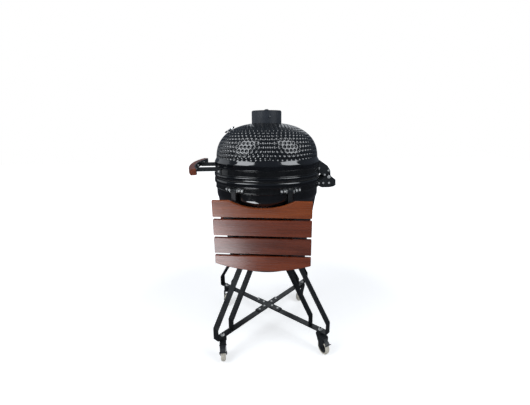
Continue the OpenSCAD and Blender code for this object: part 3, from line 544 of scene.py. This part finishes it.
# Dimpled ceramic: staggered rows of dimples on a fine grid, and coarse columns on the plain stretches
DIMPLE_PITCH = 20.8
DIMPLE_ROW = 18.6
DIMPLE_R = 7.6
DIMPLE_DEPTH = 3.9
DIMPLE_POWER = 1.5
ROW_FEWEST = 12
ROW_STEP = 6
FINE_COLS = 660
COARSE_COLS = 132
STEP = FINE_COLS // COARSE_COLS


def arc_table(points):
    """Running length along a profile, with its points and its unit tangents."""
    p = np.array(points)
    d = np.diff(p, axis=0)
    run = np.concatenate([[0.0], np.cumsum(np.hypot(d[:, 0], d[:, 1]))])
    t = np.gradient(p, run, axis=0)
    t /= np.linalg.norm(t, axis=1)[:, None]
    return run, p, t


def dimpled_zone(points, rows, flip, margin, blank):
    """Rings of points over a profile, pressed in by rows of round dimples, and the rings' heights.

    flip is for a profile that runs downwards. margin is the length at each end without a dimple's middle.
    blank(angle, radius, height) says where no dimple goes.
    """
    run, profile, tangent = arc_table(points)
    s = np.linspace(0.0, run[-1], rows + 1)
    r = np.interp(s, run, profile[:, 0])
    z = np.interp(s, run, profile[:, 1])
    tr = np.interp(s, run, tangent[:, 0])
    tz = np.interp(s, run, tangent[:, 1])
    nr, nz = (-tz, tr) if flip else (tz, -tr)
    angle = np.arange(FINE_COLS) * 2 * pi / FINE_COLS
    lift = np.zeros((rows + 1, FINE_COLS))
    for k in range(int((run[-1] - 2 * margin) / DIMPLE_ROW) + 1):
        s_k = margin + k * DIMPLE_ROW
        r_k = float(np.interp(s_k, run, profile[:, 0]))
        z_k = float(np.interp(s_k, run, profile[:, 1]))
        count = max(ROW_FEWEST, ROW_STEP * round(2 * pi * r_k / (ROW_STEP * DIMPLE_PITCH)))
        phase = 0.5 * (k % 2)
        index = np.round(angle * count / (2 * pi) - phase)
        centre = (index + phase) * 2 * pi / count
        keep = np.array([not blank(c % (2 * pi), r_k, z_k) for c in centre])
        for i in np.flatnonzero(np.abs(s - s_k) < DIMPLE_R):
            d = np.hypot(s[i] - s_k, r[i] * (angle - centre)) / DIMPLE_R
            press = DIMPLE_DEPTH * np.clip(1 - d ** DIMPLE_POWER, 0.0, None)
            lift[i] -= np.where(keep, press, 0.0)
    rings = []
    for i in range(rows + 1):
        ring_r = r[i] + nr[i] * lift[i]
        ring_z = z[i] + nz[i] * lift[i]
        rings.append(np.stack([ring_r * np.cos(angle), ring_r * np.sin(angle), ring_z], axis=1))
    return rings, z


def ceramic(name, zone, shell, body, node, hole=None, core=None):
    """A closed ceramic wall: the dimpled zone, then the plain shell from its last ring round to its first.

    hole is an opening on the -X side: its first and last ring in the zone, half its width in coarse columns
    and the shell's ring at its lower edge. core is the shell's ring after which two flat caps close it.
    """
    first, last, half, low = hole or (0, 0, 0, -1)
    rows = len(zone)
    verts = [tuple(v) for ring in zone for v in ring]
    base = len(verts)
    for r, z in shell:
        for j in range(COARSE_COLS):
            a = 2 * pi * j / COARSE_COLS
            verts.append((r * cos(a), r * sin(a), z))

    def fine(i, j):
        return i * FINE_COLS + j % FINE_COLS

    def coarse(k, j):
        return base + k * COARSE_COLS + j % COARSE_COLS

    faces = []
    for i in range(rows - 1):
        for j in range(FINE_COLS):
            if not (first <= i < last and abs(j + 0.5 - FINE_COLS // 2) < half * STEP):
                faces.append((fine(i, j), fine(i, j + 1), fine(i + 1, j + 1), fine(i + 1, j)))
    middle = COARSE_COLS // 2
    end = len(shell) - 1
    for j in range(COARSE_COLS):
        edge = [fine(rows - 1, j * STEP + t) for t in range(STEP + 1)]
        faces.append((*edge, coarse(0, j + 1), coarse(0, j)))
        edge = [fine(0, j * STEP + t) for t in range(STEP, -1, -1)]
        faces.append((*edge, coarse(end, j), coarse(end, j + 1)))
        for k in range(end):
            in_hole = k == low and -half <= j - middle < half
            if k != core and not in_hole:
                faces.append((coarse(k, j), coarse(k, j + 1), coarse(k + 1, j + 1), coarse(k + 1, j)))
    if core is not None:
        faces.append(tuple(coarse(core, j) for j in range(COARSE_COLS)))
        faces.append(tuple(coarse(core + 1, j) for j in range(COARSE_COLS))[::-1])
    if hole:
        left, right = middle - half, middle + half
        for j in range(left, right):
            edge = [fine(first, j * STEP + t) for t in range(STEP + 1)]
            faces.append((*edge, coarse(low + 1, j + 1), coarse(low + 1, j)))
            edge = [fine(last, j * STEP + t) for t in range(STEP, -1, -1)]
            faces.append((*edge, coarse(low, j), coarse(low, j + 1)))
        edge = [fine(i, left * STEP) for i in range(first, last + 1)]
        faces.append((*edge, coarse(low, left), coarse(low + 1, left)))
        edge = [fine(i, right * STEP) for i in range(last, first - 1, -1)]
        faces.append((*edge, coarse(low + 1, right), coarse(low, right)))
    obj = add_piece(name, verts, faces, FINISH["glaze"], body, (node,), sharp=50.0)
    return recalc(obj)


def dome_arc(r_from, r_to, full_r, full_h, steps):
    """Points of the dome's curve by equal turns between two radii."""
    def turn(r):
        return np.arccos((r / full_r) ** (DOME_FULL / 2))

    out = []
    for i in range(steps + 1):
        a = turn(r_from) + (turn(r_to) - turn(r_from)) * i / steps
        out.append((full_r * cos(a) ** (2 / DOME_FULL), DOME_Z0 + full_h * sin(a) ** (2 / DOME_FULL)))
    return out


def build_lid():
    """The dome with its dimples, a bare spot round the thermometer's stem, its neck and its rim."""
    start_z, crown_r, foot_r = 999.0, 78.0, 70.0
    stem_clear, edge = 13.0, 2.0
    inner_r, inner_h = DOME_R - WALL, DOME_H - WALL + 3
    outer = [(r, z) for r, z in dome_arc(DOME_R, crown_r, DOME_R, DOME_H, steps=400) if z >= start_z]

    def blank(a, r, z):
        return hypot(r * cos(a) + DIAL_FOOT, r * sin(a)) < stem_clear

    zone, _ = dimpled_zone(outer, rows=130, flip=False, margin=8.0, blank=blank)
    neck = [
        (foot_r, dome_z(foot_r)),
        (NECK_R + 1, dome_z(NECK_R + 1)),
        (NECK_R, dome_z(NECK_R) + edge),
        (NECK_R, NECK_TOP - edge),
        (NECK_R - edge, NECK_TOP),
        (NECK_HOLE_R + edge, NECK_TOP),
        (NECK_HOLE_R, NECK_TOP - edge),
    ]
    inner = dome_arc(NECK_HOLE_R, inner_r, inner_r, inner_h, steps=24)
    rim = rounded((
        (BODY_R - WALL, LID_RIM + 30, 0),
        (BODY_R - WALL, LID_RIM, 3),
        (LIP_R, LID_RIM, 7),
        (LIP_R, LID_BAND_LOW, 8),
        (BODY_R, LID_BAND_LOW, 0.5),
        (BODY_R, LID_BAND_TOP + 1, 0.5),
        (COLLAR_R, LID_BAND_TOP + 1, 2.5),
        (COLLAR_R, DOME_Z0 - 3, 12),
        (DOME_R + 0.8, DOME_Z0 + 11, 5),
        (DOME_R, start_z - 1, 0),
    ), steps=7)
    return ceramic("lid_dome_glazed", zone, neck + inner + rim, "lid", "lid_dome")


def build_bowl():
    """The bowl with its draft opening, dimpled but for the stretch where the draft frame and door go."""
    top_z, low_z, levels = 794.0, 474.0, 60
    plain_low, plain_top = 464.0, 548.0
    plain_from, plain_to = radians(120.0), radians(205.0)
    open_top, open_low, open_half = 526.0, 484.0, 5
    foot_z, core_r, bend = low_z - 8, 20.0, 8
    heights = [top_z + (low_z - top_z) * i / levels for i in range(levels + 1)]

    def blank(a, r, z):
        return plain_low < z < plain_top and plain_from < a < plain_to

    outer = [(bowl_r(z), z) for z in heights]
    zone, ring_z = dimpled_zone(outer, rows=136, flip=True, margin=5.0, blank=blank)
    row_top = int(np.argmin(np.abs(ring_z - open_top)))
    row_low = int(np.argmin(np.abs(ring_z - open_low)))
    bottom = rounded((
        (bowl_r(foot_z), foot_z, 0),
        (bowl_r(RING_Z), RING_Z, 22),
        (core_r, RING_Z, 0),
    ), steps=6)
    cavity = [
        (core_r, CAVITY_Z),
        (bowl_r(CAVITY_Z) - WALL - 12, CAVITY_Z),
        (bowl_r(CAVITY_Z + bend) - WALL, CAVITY_Z + bend),
    ]
    inner_z = (float(ring_z[row_low]), float(ring_z[row_top]), 600.0, 680.0, 760.0, 800.0)
    inner = [(bowl_r(z) - WALL, z) for z in inner_z]
    rim = rounded((
        (SHOULDER_R - WALL, SHOULDER_Z + 5, 0),
        (BODY_R - WALL, BASE_RIM, 4),
        (LIP_R, BASE_RIM, 7),
        (LIP_R, BASE_BAND_TOP, 9),
        (BODY_R, BASE_BAND_TOP, 0.5),
        (BODY_R, BASE_BAND_LOW - 1, 0.3),
        (SKIN_R, BASE_BAND_LOW - 3, 0.5),
        (SKIN_R, SHOULDER_Z + 10, 40),
        (bowl_r(top_z + 2), top_z + 2, 0),
    ), steps=6)
    hole = (row_top, row_low, open_half, len(bottom) + len(cavity))
    shell = bottom + cavity + inner + rim
    return ceramic("base_bowl_glazed", zone, shell, "stand_and_bowl", "base_bowl", hole, len(bottom) - 1)


def build_bands():
    """Two rolled bands with folded edges, split at the hinge."""
    split, seat_r = 0.35, BODY_R + 0.1
    fold, slope, edge_r = 3.2, 1.6, BAND_R + 1.1
    for name, node, low, high, body in (
        ("lid_band_ring", "lid_band", LID_BAND_LOW, LID_BAND_TOP, "lid"),
        ("base_band_ring", "base_band", BASE_BAND_LOW, BASE_BAND_TOP, "stand_and_bowl"),
    ):
        profile = rounded((
            (seat_r, low, 0.2),
            (edge_r, low, 0.9),
            (edge_r, low + fold, 0.9),
            (BAND_R, low + fold + slope, 1.2),
            (BAND_R, high - fold - slope, 1.2),
            (edge_r, high - fold, 0.9),
            (edge_r, high, 0.9),
            (seat_r, high, 0.2),
        ), closed=True, steps=3)
        verts, faces = lathe(profile, cols=240, a0=split, a1=360 - split)
        recalc(add_piece(name, verts, faces, FINISH["band"], body, (node,)))


# Wood
def lay_grain(obj, uv_at):
    """A UV map in metres, from a function of a point's place."""
    layer = obj.data.uv_layers.new(name="grain")
    for loop in obj.data.loops:
        layer.data[loop.index].uv = uv_at(obj.data.vertices[loop.vertex_index].co)


def board(name, outline, y0, y1, material, body, node, place):
    """A wooden board with rounded edges: an XZ outline between two Y planes, with its grain along X."""
    sharp, edge, slant = radians(25.0), 2.2, Vector((0.0, 1.0, 0.9))
    bm = bmesh.new()
    front = [bm.verts.new((x * MM, y0 * MM, z * MM)) for x, z in outline]
    back = [bm.verts.new((x * MM, y1 * MM, z * MM)) for x, z in outline]
    n = len(outline)
    bm.faces.new(front)
    bm.faces.new(back[::-1])
    for i in range(n):
        bm.faces.new((front[(i + 1) % n], front[i], back[i], back[(i + 1) % n]))
    bm.normal_update()
    bmesh.ops.recalc_face_normals(bm, faces=bm.faces)
    soften(bm, [e for e in bm.edges if e.calc_face_angle(0.0) > sharp], edge)
    mesh = bpy.data.meshes.new(name)
    bm.to_mesh(mesh)
    bm.free()
    obj = finish_piece(name, mesh, material, body, (node,), place, sharp=30.0)
    lay_grain(obj, lambda co: (co.x, co.dot(slant)))
    return obj


def shelf_place(side):
    """The place of a shelf's pivot at rest: side is -1 for the near shelf and 1 for the far one."""
    pivot = Matrix.Translation((0, side * PIVOT_N * MM, PIVOT_Z * MM))
    return turn_z(side * SHELF_TURN) @ pivot @ Matrix.Rotation(radians(-side * SHELF_LEAN), 4, "X")


def slat_outline(i):
    """A slat's outline below the pivot. The first is cut out round the bowl, the last has a bowed end."""
    half, corner, points = SHELF_W / 2, 3.0, 41
    top = -SLAT_TOP - i * SLAT_PITCH
    low = top - SLAT_W
    if i == 0:
        cut_r = (CUT_HALF ** 2 + CUT_DEEP ** 2) / (2 * CUT_DEEP)
        reach = asin(CUT_HALF / cut_r)
        arc = [(cut_r * sin(t), top - CUT_DEEP + cut_r - cut_r * cos(t))
               for t in np.linspace(-reach, reach, points)]
        ends = [(-half, top - 10), (-half, low), (half, low), (half, top - 10)]
        return filleted(ends, corner, steps=3) + [(half, top)] + arc[::-1] + [(-half, top)]
    if i == SLAT_COUNT - 1:
        end_r = (half ** 2 + END_DEEP ** 2) / (2 * END_DEEP)
        reach = asin((half - 1.0) / end_r)
        arc = [(end_r * sin(t), low + end_r - end_r * cos(t)) for t in np.linspace(-reach, reach, points)]
        side_low = low + END_DEEP + 3
        return arc + [(half, side_low), (half, top), (-half, top), (-half, side_low)]
    return filleted([(-half, low), (half, low), (half, top), (-half, top)], corner, closed=True, steps=3)


def build_shelves():
    inner = ARM_W / 2
    outer = inner + SLAT_T
    slat_nodes = ("slat_top", "slats_mid", "slats_mid", "slat_end")
    for side, name, y0, y1 in ((-1, "near", -outer, -inner), (1, "far", inner, outer)):
        for i, node in enumerate(slat_nodes):
            board(f"{name}_slat_{i + 1}", slat_outline(i), y0, y1, WOODS[i], name + "_shelf",
                  f"{name}_{node}", shelf_place(side))


def build_grip():
    """The bowed wooden grip, with its grain along the bow."""
    sharp, edge, rings, slant = 40.0, 1.6, 49, 0.8
    half_w, half_h = GRIP_W / 2, GRIP_H / 2
    bow_r = (GRIP_HALF ** 2 + GRIP_BOW ** 2) / (2 * GRIP_BOW)
    bow_x = bow_r - GRIP_AT
    reach = asin(GRIP_HALF / bow_r)
    mid_r = bow_r + half_w
    profile = rounded((
        (-half_w, -half_h, 1.5),
        (half_w, -half_h, 7.0),
        (half_w, half_h, 7.0),
        (-half_w, half_h, 2.5),
    ), closed=True, steps=4)
    path, sides, ups = [], [], []
    for t in np.linspace(-reach, reach, rings):
        a = pi + t
        path.append((bow_x + mid_r * cos(a), mid_r * sin(a), GRIP_Z))
        sides.append((cos(a), sin(a), 0.0))
        ups.append((0.0, 0.0, 1.0))
    verts, faces = sweep(path, sides, ups, profile)
    obj = add_piece("handle_grip_wood", verts, faces, GRIP_WOOD, "lid", ("handle_grip",),
                    sharp=sharp)
    recalc(obj)
    bm = bmesh.new()
    bm.from_mesh(obj.data)
    ends = [f for f in bm.faces if len(f.verts) > 4]
    soften(bm, [e for f in ends for e in f.edges], edge)
    bm.to_mesh(obj.data)
    bm.free()
    obj.data.shade_smooth()
    obj.data.set_sharp_from_angle(angle=radians(sharp))

    def along_bow(co):
        x = co.x - bow_x * MM
        return atan2(co.y, -x) * mid_r * MM, co.z + slant * hypot(x, co.y)

    lay_grain(obj, along_bow)
    return obj


# Stand
def strip(corners):
    """A flat strip in the XZ plane along (x, z, bend) corners, with softened edges."""
    edge, half_w, half_t = 1.0, STRIP_W / 2, STRIP_T / 2
    section = [(-half_w, -half_t), (half_w, -half_t), (half_w, half_t), (-half_w, half_t)]
    profile = filleted(section, edge, closed=True, steps=2)
    path = [Vector((x, 0.0, z)) for x, z in rounded(corners, steps=7)]
    last = len(path) - 1
    sides, ups = [], []
    for i in range(len(path)):
        d = (path[min(i + 1, last)] - path[max(i - 1, 0)]).normalized()
        sides.append((0.0, 1.0, 0.0))
        ups.append((-d.z, 0.0, d.x))
    return sweep(path, sides, ups, profile)


def build_legs():
    """Four outer strips up to the hoop and four inner strips up to the ring."""
    bend, tab_bend = 14, 8
    tab_r = HOOP_OUT + STRIP_T / 2
    lean = (LEG_OUT_R - HOOP_OUT) / (HOOP_TOP - TAB_H - FOOT_TOP)
    tab_low = RING_Z - RING_T - STRIP_T
    tab_mid = tab_low + STRIP_T / 2
    tab_x = LEG_IN_R - (tab_low - FOOT_TOP) * lean
    outer = strip((
        (LEG_OUT_R, BRACE_TOP, 0),
        (LEG_OUT_R, FOOT_TOP, bend),
        (tab_r, HOOP_TOP - TAB_H, bend),
        (tab_r, HOOP_TOP, 0),
    ))
    inner = strip((
        (LEG_IN_R, BRACE_TOP, 0),
        (LEG_IN_R, FOOT_TOP, bend),
        (tab_x, tab_mid, tab_bend),
        (tab_x - IN_TAB, tab_mid, 0),
    ))
    for name, part, node in (
        ("leg_strips_outer", outer, "leg_outer"),
        ("leg_strips_inner", inner, "leg_inner"),
    ):
        verts, faces = joined([moved(part, turn_z(a)) for a in CASTOR_AZ])
        recalc(add_piece(name, verts, faces, FINISH["stand"], "stand_and_bowl", (node,)))


def castor_frame(i):
    a = radians(CASTOR_AZ[i])
    return Matrix.Translation((CASTOR_R * cos(a), CASTOR_R * sin(a), 0.0)) @ turn_z(CASTOR_TURN[i])


def build_wheels():
    """Four wheels, each a dished hub in a soft tread."""
    half = WHEEL_W / 2
    boss, dish, lip = half - 0.6, half - 4.5, half - 1.2
    hub = rounded(mirrored([
        (4.6, boss, 0.4),
        (10.5, boss, 1.2),
        (12.5, dish, 1.5),
        (26.0, dish, 1.5),
        (28.6, lip, 0.8),
    ]), closed=True, steps=3)
    tread = rounded(mirrored([
        (28.2, half, 0.8),
        (WHEEL_R - 5.0, half, 7.0),
        (WHEEL_R, half - 8, 12.0),
    ]), closed=True, steps=6)
    lie = Matrix.Translation((TRAIL, 0.0, WHEEL_R)) @ Matrix.Rotation(radians(90.0), 4, "X")
    for i in range(len(CASTOR_AZ)):
        at = castor_frame(i) @ lie
        wheel, body = f"wheel_{i + 1}", f"roller_{i + 1}"
        verts, faces = moved(lathe(tread, cols=72), at)
        recalc(add_piece(wheel + "_tread", verts, faces, FINISH["tread"], body, (wheel,)))
        verts, faces = moved(lathe(hub, cols=60), at)
        recalc(add_piece(wheel + "_hub", verts, faces, FINISH["hub"], body))


# Hinge springs as real coils round the pin
def build_springs():
    wire, coil_r, start, pitch = 1.4, PIN_R + 2.9, 6.5, 3.0
    turns, turn_steps, wire_sides = 8, 20, 10
    wire_turns = [2 * pi * k / wire_sides for k in range(wire_sides)]
    ring = [(wire * cos(a), wire * sin(a)) for a in wire_turns]
    parts = []
    for side in (-1, 1):
        path, sides, ups = [], [], []
        for i in range(turns * turn_steps + 1):
            a = 2 * pi * i / turn_steps
            out = Vector((cos(a), 0.0, sin(a)))
            y = side * (start + pitch * i / turn_steps)
            path.append((PIN_X + out.x * coil_r, y, PIN_Z + out.z * coil_r))
            sides.append(tuple(out))
            ups.append((0.0, 1.0, 0.0))
        parts.append(sweep(path, sides, ups, ring))
    verts, faces = joined(parts)
    coils = add_piece("hinge_coils", verts, faces, FINISH["dark_zinc"], "stand_and_bowl",
                      ("hinge_springs",))
    recalc(coils)


# Thermometer face with its scale, from the first mark round to the last
SCALE_START = 135.0
SCALE_TURN = 270.0


def dial_place(depth):
    """The frame of the dial, with Z along its axis, at a depth from the front of its case."""
    tilt = dome_tilt(DIAL_FOOT)
    lift = CASE_DEPTH + BOSS_H + SEAT_GAP
    at = Vector((-DIAL_FOOT - lift * sin(tilt), 0.0, dome_z(DIAL_FOOT) + lift * cos(tilt))) * MM
    stand = Matrix.Translation(at) @ Matrix.Rotation(-tilt, 4, "Y")
    return stand @ Matrix.Translation((0.0, 0.0, depth * MM))


def build_ticks():
    outer_r, height, count, long_every = 22.4, 0.2, 28, 3
    corners = ((-1, -1), (1, -1), (1, 1), (-1, 1))
    quads = [(3, 2, 1, 0), (4, 5, 6, 7), (0, 1, 5, 4), (1, 2, 6, 5), (2, 3, 7, 6), (3, 0, 4, 7)]
    parts = []
    for i in range(count):
        length, width = (1.8, 0.4) if i % long_every else (3.2, 0.7)
        r = outer_r - length / 2
        verts = [(r + sx * length / 2, sy * width / 2, z) for z in (0, height) for sx, sy in corners]
        a = radians(SCALE_START - SCALE_TURN * i / (count - 1))
        parts.append(moved((verts, quads), Matrix.Rotation(a, 4, "Z")))
    verts, faces = joined(parts)
    add_piece("dial_ticks", verts, faces, FINISH["ink"], "lid", (), dial_place(PLATE_TOP))


def build_numbers():
    ring_r, size, raised, height = 14.6, 4.6, 0.1, 0.08
    numbers = ("0", "100", "200", "300", "400")
    for i, text in enumerate(numbers):
        curve = bpy.data.curves.new(f"dial_number_{i}", "FONT")
        curve.body = text
        curve.size = size * MM
        curve.extrude = height * MM
        curve.align_x = "CENTER"
        curve.align_y = "CENTER"
        curve.materials.append(FINISH["ink"])
        obj = bpy.data.objects.new(f"dial_number_{i}", curve)
        scene.collection.objects.link(obj)
        a = radians(SCALE_START - SCALE_TURN * i / (len(numbers) - 1))
        spot = Matrix.Translation((ring_r * cos(a) * MM, ring_r * sin(a) * MM, 0.0))
        obj.matrix_world = dial_place(PLATE_TOP + raised) @ spot @ turn_z(-90.0)
        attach(obj, "lid")


def build_bezel():
    proud = 0.3
    inner, outer, low = DIAL_R - BEZEL_W - proud, DIAL_R + proud, -BEZEL_H - proud
    ring = rounded((
        (inner, -0.7, 0.1),
        (inner, low, 0.1),
        (outer, low, 0.8),
        (outer, proud, 1.9),
        (inner + 1.0, proud, 0.6),
    ), closed=True, steps=4)
    verts, faces = lathe(ring, cols=96)
    recalc(add_piece("dial_bezel", verts, faces, FINISH["chrome"], "lid", (), dial_place(0.0)))


build_lid()
build_bowl()
build_bands()
build_shelves()
build_grip()
build_legs()
build_wheels()
build_springs()
build_ticks()
build_numbers()
build_bezel()

# CAD nodes that keep their shape, each with its finish and the size of its softened edges
DRESSED = {
    "vent_cap": ("cap", 1.2),
    "vent_shutter": ("cap", 0.7),
    "vent_knob": ("cap", 0.6),
    "vent_screw": ("dark_zinc", 0.4),
    "handle_frame": ("fitting", 0.7),
    "handle_bar": ("black", 0.7),
    "hinge_base": ("fitting", 0.8),
    "hinge_lid": ("fitting", 0.8),
    "shelf_brackets": ("black", 0.6),
    "near_arms": ("stand", 1.0),
    "far_arms": ("stand", 1.0),
    "draft_frame": ("black", 0.4),
    "draft_door": ("rod", 0.4),
    "hinge_pin": ("zinc", 0.6),
    "shelf_pins": ("zinc", 0.6),
    "lid_bolts": ("zinc", 0.7),
    "base_bolts": ("zinc", 0.7),
    "stand_bolts": ("zinc", 0.7),
    "castor_nuts": ("zinc", 0.7),
    "castor_stems": ("fork", 0.5),
    "near_screws": ("dark_zinc", 0.4),
    "far_screws": ("dark_zinc", 0.4),
    "brace_arms": ("stand", 0.9),
    "brace_cross": ("stand", 0.9),
    "stand_hoop": ("stand", 0.8),
    "stand_ring": ("stand", 0.8),
    "fork_1": ("fork", 0.7),
    "fork_2": ("fork", 0.7),
    "fork_3": ("fork", 0.7),
    "fork_4": ("fork", 0.7),
    "pedal_1": ("fork", 0.8),
    "pedal_2": ("fork", 0.8),
    "thermo_case": ("dark_zinc", 0.4),
    "thermo_dial": ("face", 0.1),
    "thermo_needle": ("red", 0.1),
    "thermo_glass": ("glass", 0.2),
    "fire_box": ("clay", 2.0),
    "fire_ring": ("clay", 2.0),
    "charcoal_grate": ("iron", 1.0),
    "cooking_grate": ("rod", 0.0),
    "base_gasket": ("felt", 0.3),
    "lid_gasket": ("felt", 0.3),
}
for node, (finish, bevel) in DRESSED.items():
    dress(node, FINISH[finish], bevel)

# Stage, light and camera, in metres
LAMP_TINT = (0.93, 0.965, 1.0)
ROOM_LIGHT = (0.27, 0.295, 0.33)
ROOM_GLOSS = (0.1, 0.118, 0.145)
FLOOR_REACH = 9.0
FLOOR_PALE = (0.72, 0.72, 0.72)
FLOOR_GLOSS = (0.1, 0.1, 0.11)
FLOOR_LIFT = 0.52
LIFT_FROM = 0.9
LIFT_TO = 2.6


def area(name, at, target, size, strength, diffuse=True):
    """A rectangular lamp of even brightness, or one that only the gloss shows."""
    lamp = bpy.data.lights.new(name, "AREA")
    lamp.shape = "RECTANGLE"
    lamp.size, lamp.size_y = size
    lamp.energy = strength * size[0] * size[1] * pi
    lamp.color = LAMP_TINT
    obj = bpy.data.objects.new(name, lamp)
    scene.collection.objects.link(obj)
    obj.location = at
    obj.rotation_euler = (Vector(target) - Vector(at)).to_track_quat("-Z", "Y").to_euler()
    obj.visible_camera = False
    obj.visible_diffuse = diffuse
    return obj


def seen_by(tree, ray):
    return tree.nodes.new("ShaderNodeLightPath").outputs[f"Is {ray} Ray"]


def build_world():
    """White to the camera, a dim room in the gloss and a plain grey room to everything else."""
    world = bpy.data.worlds.new("studio")
    scene.world = world
    world.use_nodes = True
    tree = world.node_tree
    shade = None
    for ray, color in (("Glossy", ROOM_GLOSS), ("Camera", (1.0, 1.0, 1.0))):
        blend = tree.nodes.new("ShaderNodeMix")
        blend.data_type = "RGBA"
        tree.links.new(seen_by(tree, ray), blend.inputs["Factor"])
        others, this = [i for i in blend.inputs if i.type == "RGBA"]
        this.default_value = (*color, 1.0)
        if shade is None:
            others.default_value = (*ROOM_LIGHT, 1.0)
        else:
            tree.links.new(shade, others)
        shade = [o for o in blend.outputs if o.type == "RGBA"][0]
    tree.links.new(shade, tree.nodes["Background"].inputs["Color"])
    tree.nodes["Background"].inputs["Strength"].default_value = 1.0


def build_floor():
    """A pale floor that the camera sees near white, with the object's shadow left on it.

    It is dim in the gloss, and its lift to white grows away from the object, so that no horizon shows.
    """
    corners = ((-1, -1), (1, -1), (1, 1), (-1, 1))
    verts = [(x * FLOOR_REACH, y * FLOOR_REACH, 0) for x, y in corners]
    mesh = bpy.data.meshes.new("floor")
    mesh.from_pydata(verts, [], [(0, 1, 2, 3)])
    floor = bpy.data.objects.new("floor", mesh)
    scene.collection.objects.link(floor)
    p = Paint("floor_pale", FLOOR_PALE, roughness=0.9)
    p.set("Specular IOR Level", 0.0)
    p.color(p.mix(seen_by(p.tree, "Glossy"), FLOOR_PALE, FLOOR_GLOSS))
    p.set("Emission Color", (1.0, 1.0, 1.0, 1.0))
    far = p.node("ShaderNodeVectorMath", operation="LENGTH")
    p.link(p.coords(), far.inputs[0])
    lift = p.node("ShaderNodeMath", operation="MULTIPLY")
    p.link(p.span(far.outputs["Value"], FLOOR_LIFT, 1.0, LIFT_FROM, LIFT_TO), lift.inputs[1])
    p.link(seen_by(p.tree, "Camera"), lift.inputs[0])
    p.link(lift.outputs[0], p.shader.inputs["Emission Strength"])
    mesh.materials.append(p.material)


build_world()
build_floor()
area("window_left", at=(-1.92, -1.15, 2.7), target=(0, 0, 1.05), size=(1.55, 2.6), strength=4.5)
area("window_right", at=(1.79, -1.35, 2.7), target=(0, 0, 1.05), size=(1.45, 2.6), strength=4.1)
area("window_back", at=(0.8, 3.2, 2.6), target=(0, 0, 0.9), size=(2.2, 1.6), strength=1.0)
# The glow lies flat and shines up. Its aim leans by a hair, which sets how the rectangle is turned
area("floor_glow", at=(-1.14, -1.37, 0.02), target=(-1.1394, -1.3692, 1.0), size=(0.7, 1.6), strength=7.0,
     diffuse=False)
area("wall_left", at=(-2.9, 1.35, 1.6), target=(0, 0, 1.1), size=(2.4, 2.4), strength=0.6, diffuse=False)

# The camera: its focal length in pixels of an image of that width, its place, turn, look down and roll
FOCAL_PX = 305.3
IMAGE_W = 530
SENSOR = 36.0
EYE_AT = (-0.1284, -1.6166, 1.147)
EYE_TURN = -4.12
EYE_DOWN = 13.83
EYE_ROLL = -0.52
camera = bpy.data.cameras.new("camera")
camera.sensor_fit = "HORIZONTAL"
camera.sensor_width = SENSOR
camera.lens = SENSOR * FOCAL_PX / IMAGE_W
camera.clip_end = 50.0
eye = bpy.data.objects.new("camera", camera)
scene.collection.objects.link(eye)
look = turn_z(EYE_TURN) @ Matrix.Rotation(radians(90.0 - EYE_DOWN), 4, "X") @ turn_z(EYE_ROLL)
eye.matrix_world = Matrix.Translation(EYE_AT) @ look
scene.camera = eye
scene.view_settings.view_transform = "Standard"

bpy.context.view_layer.update()
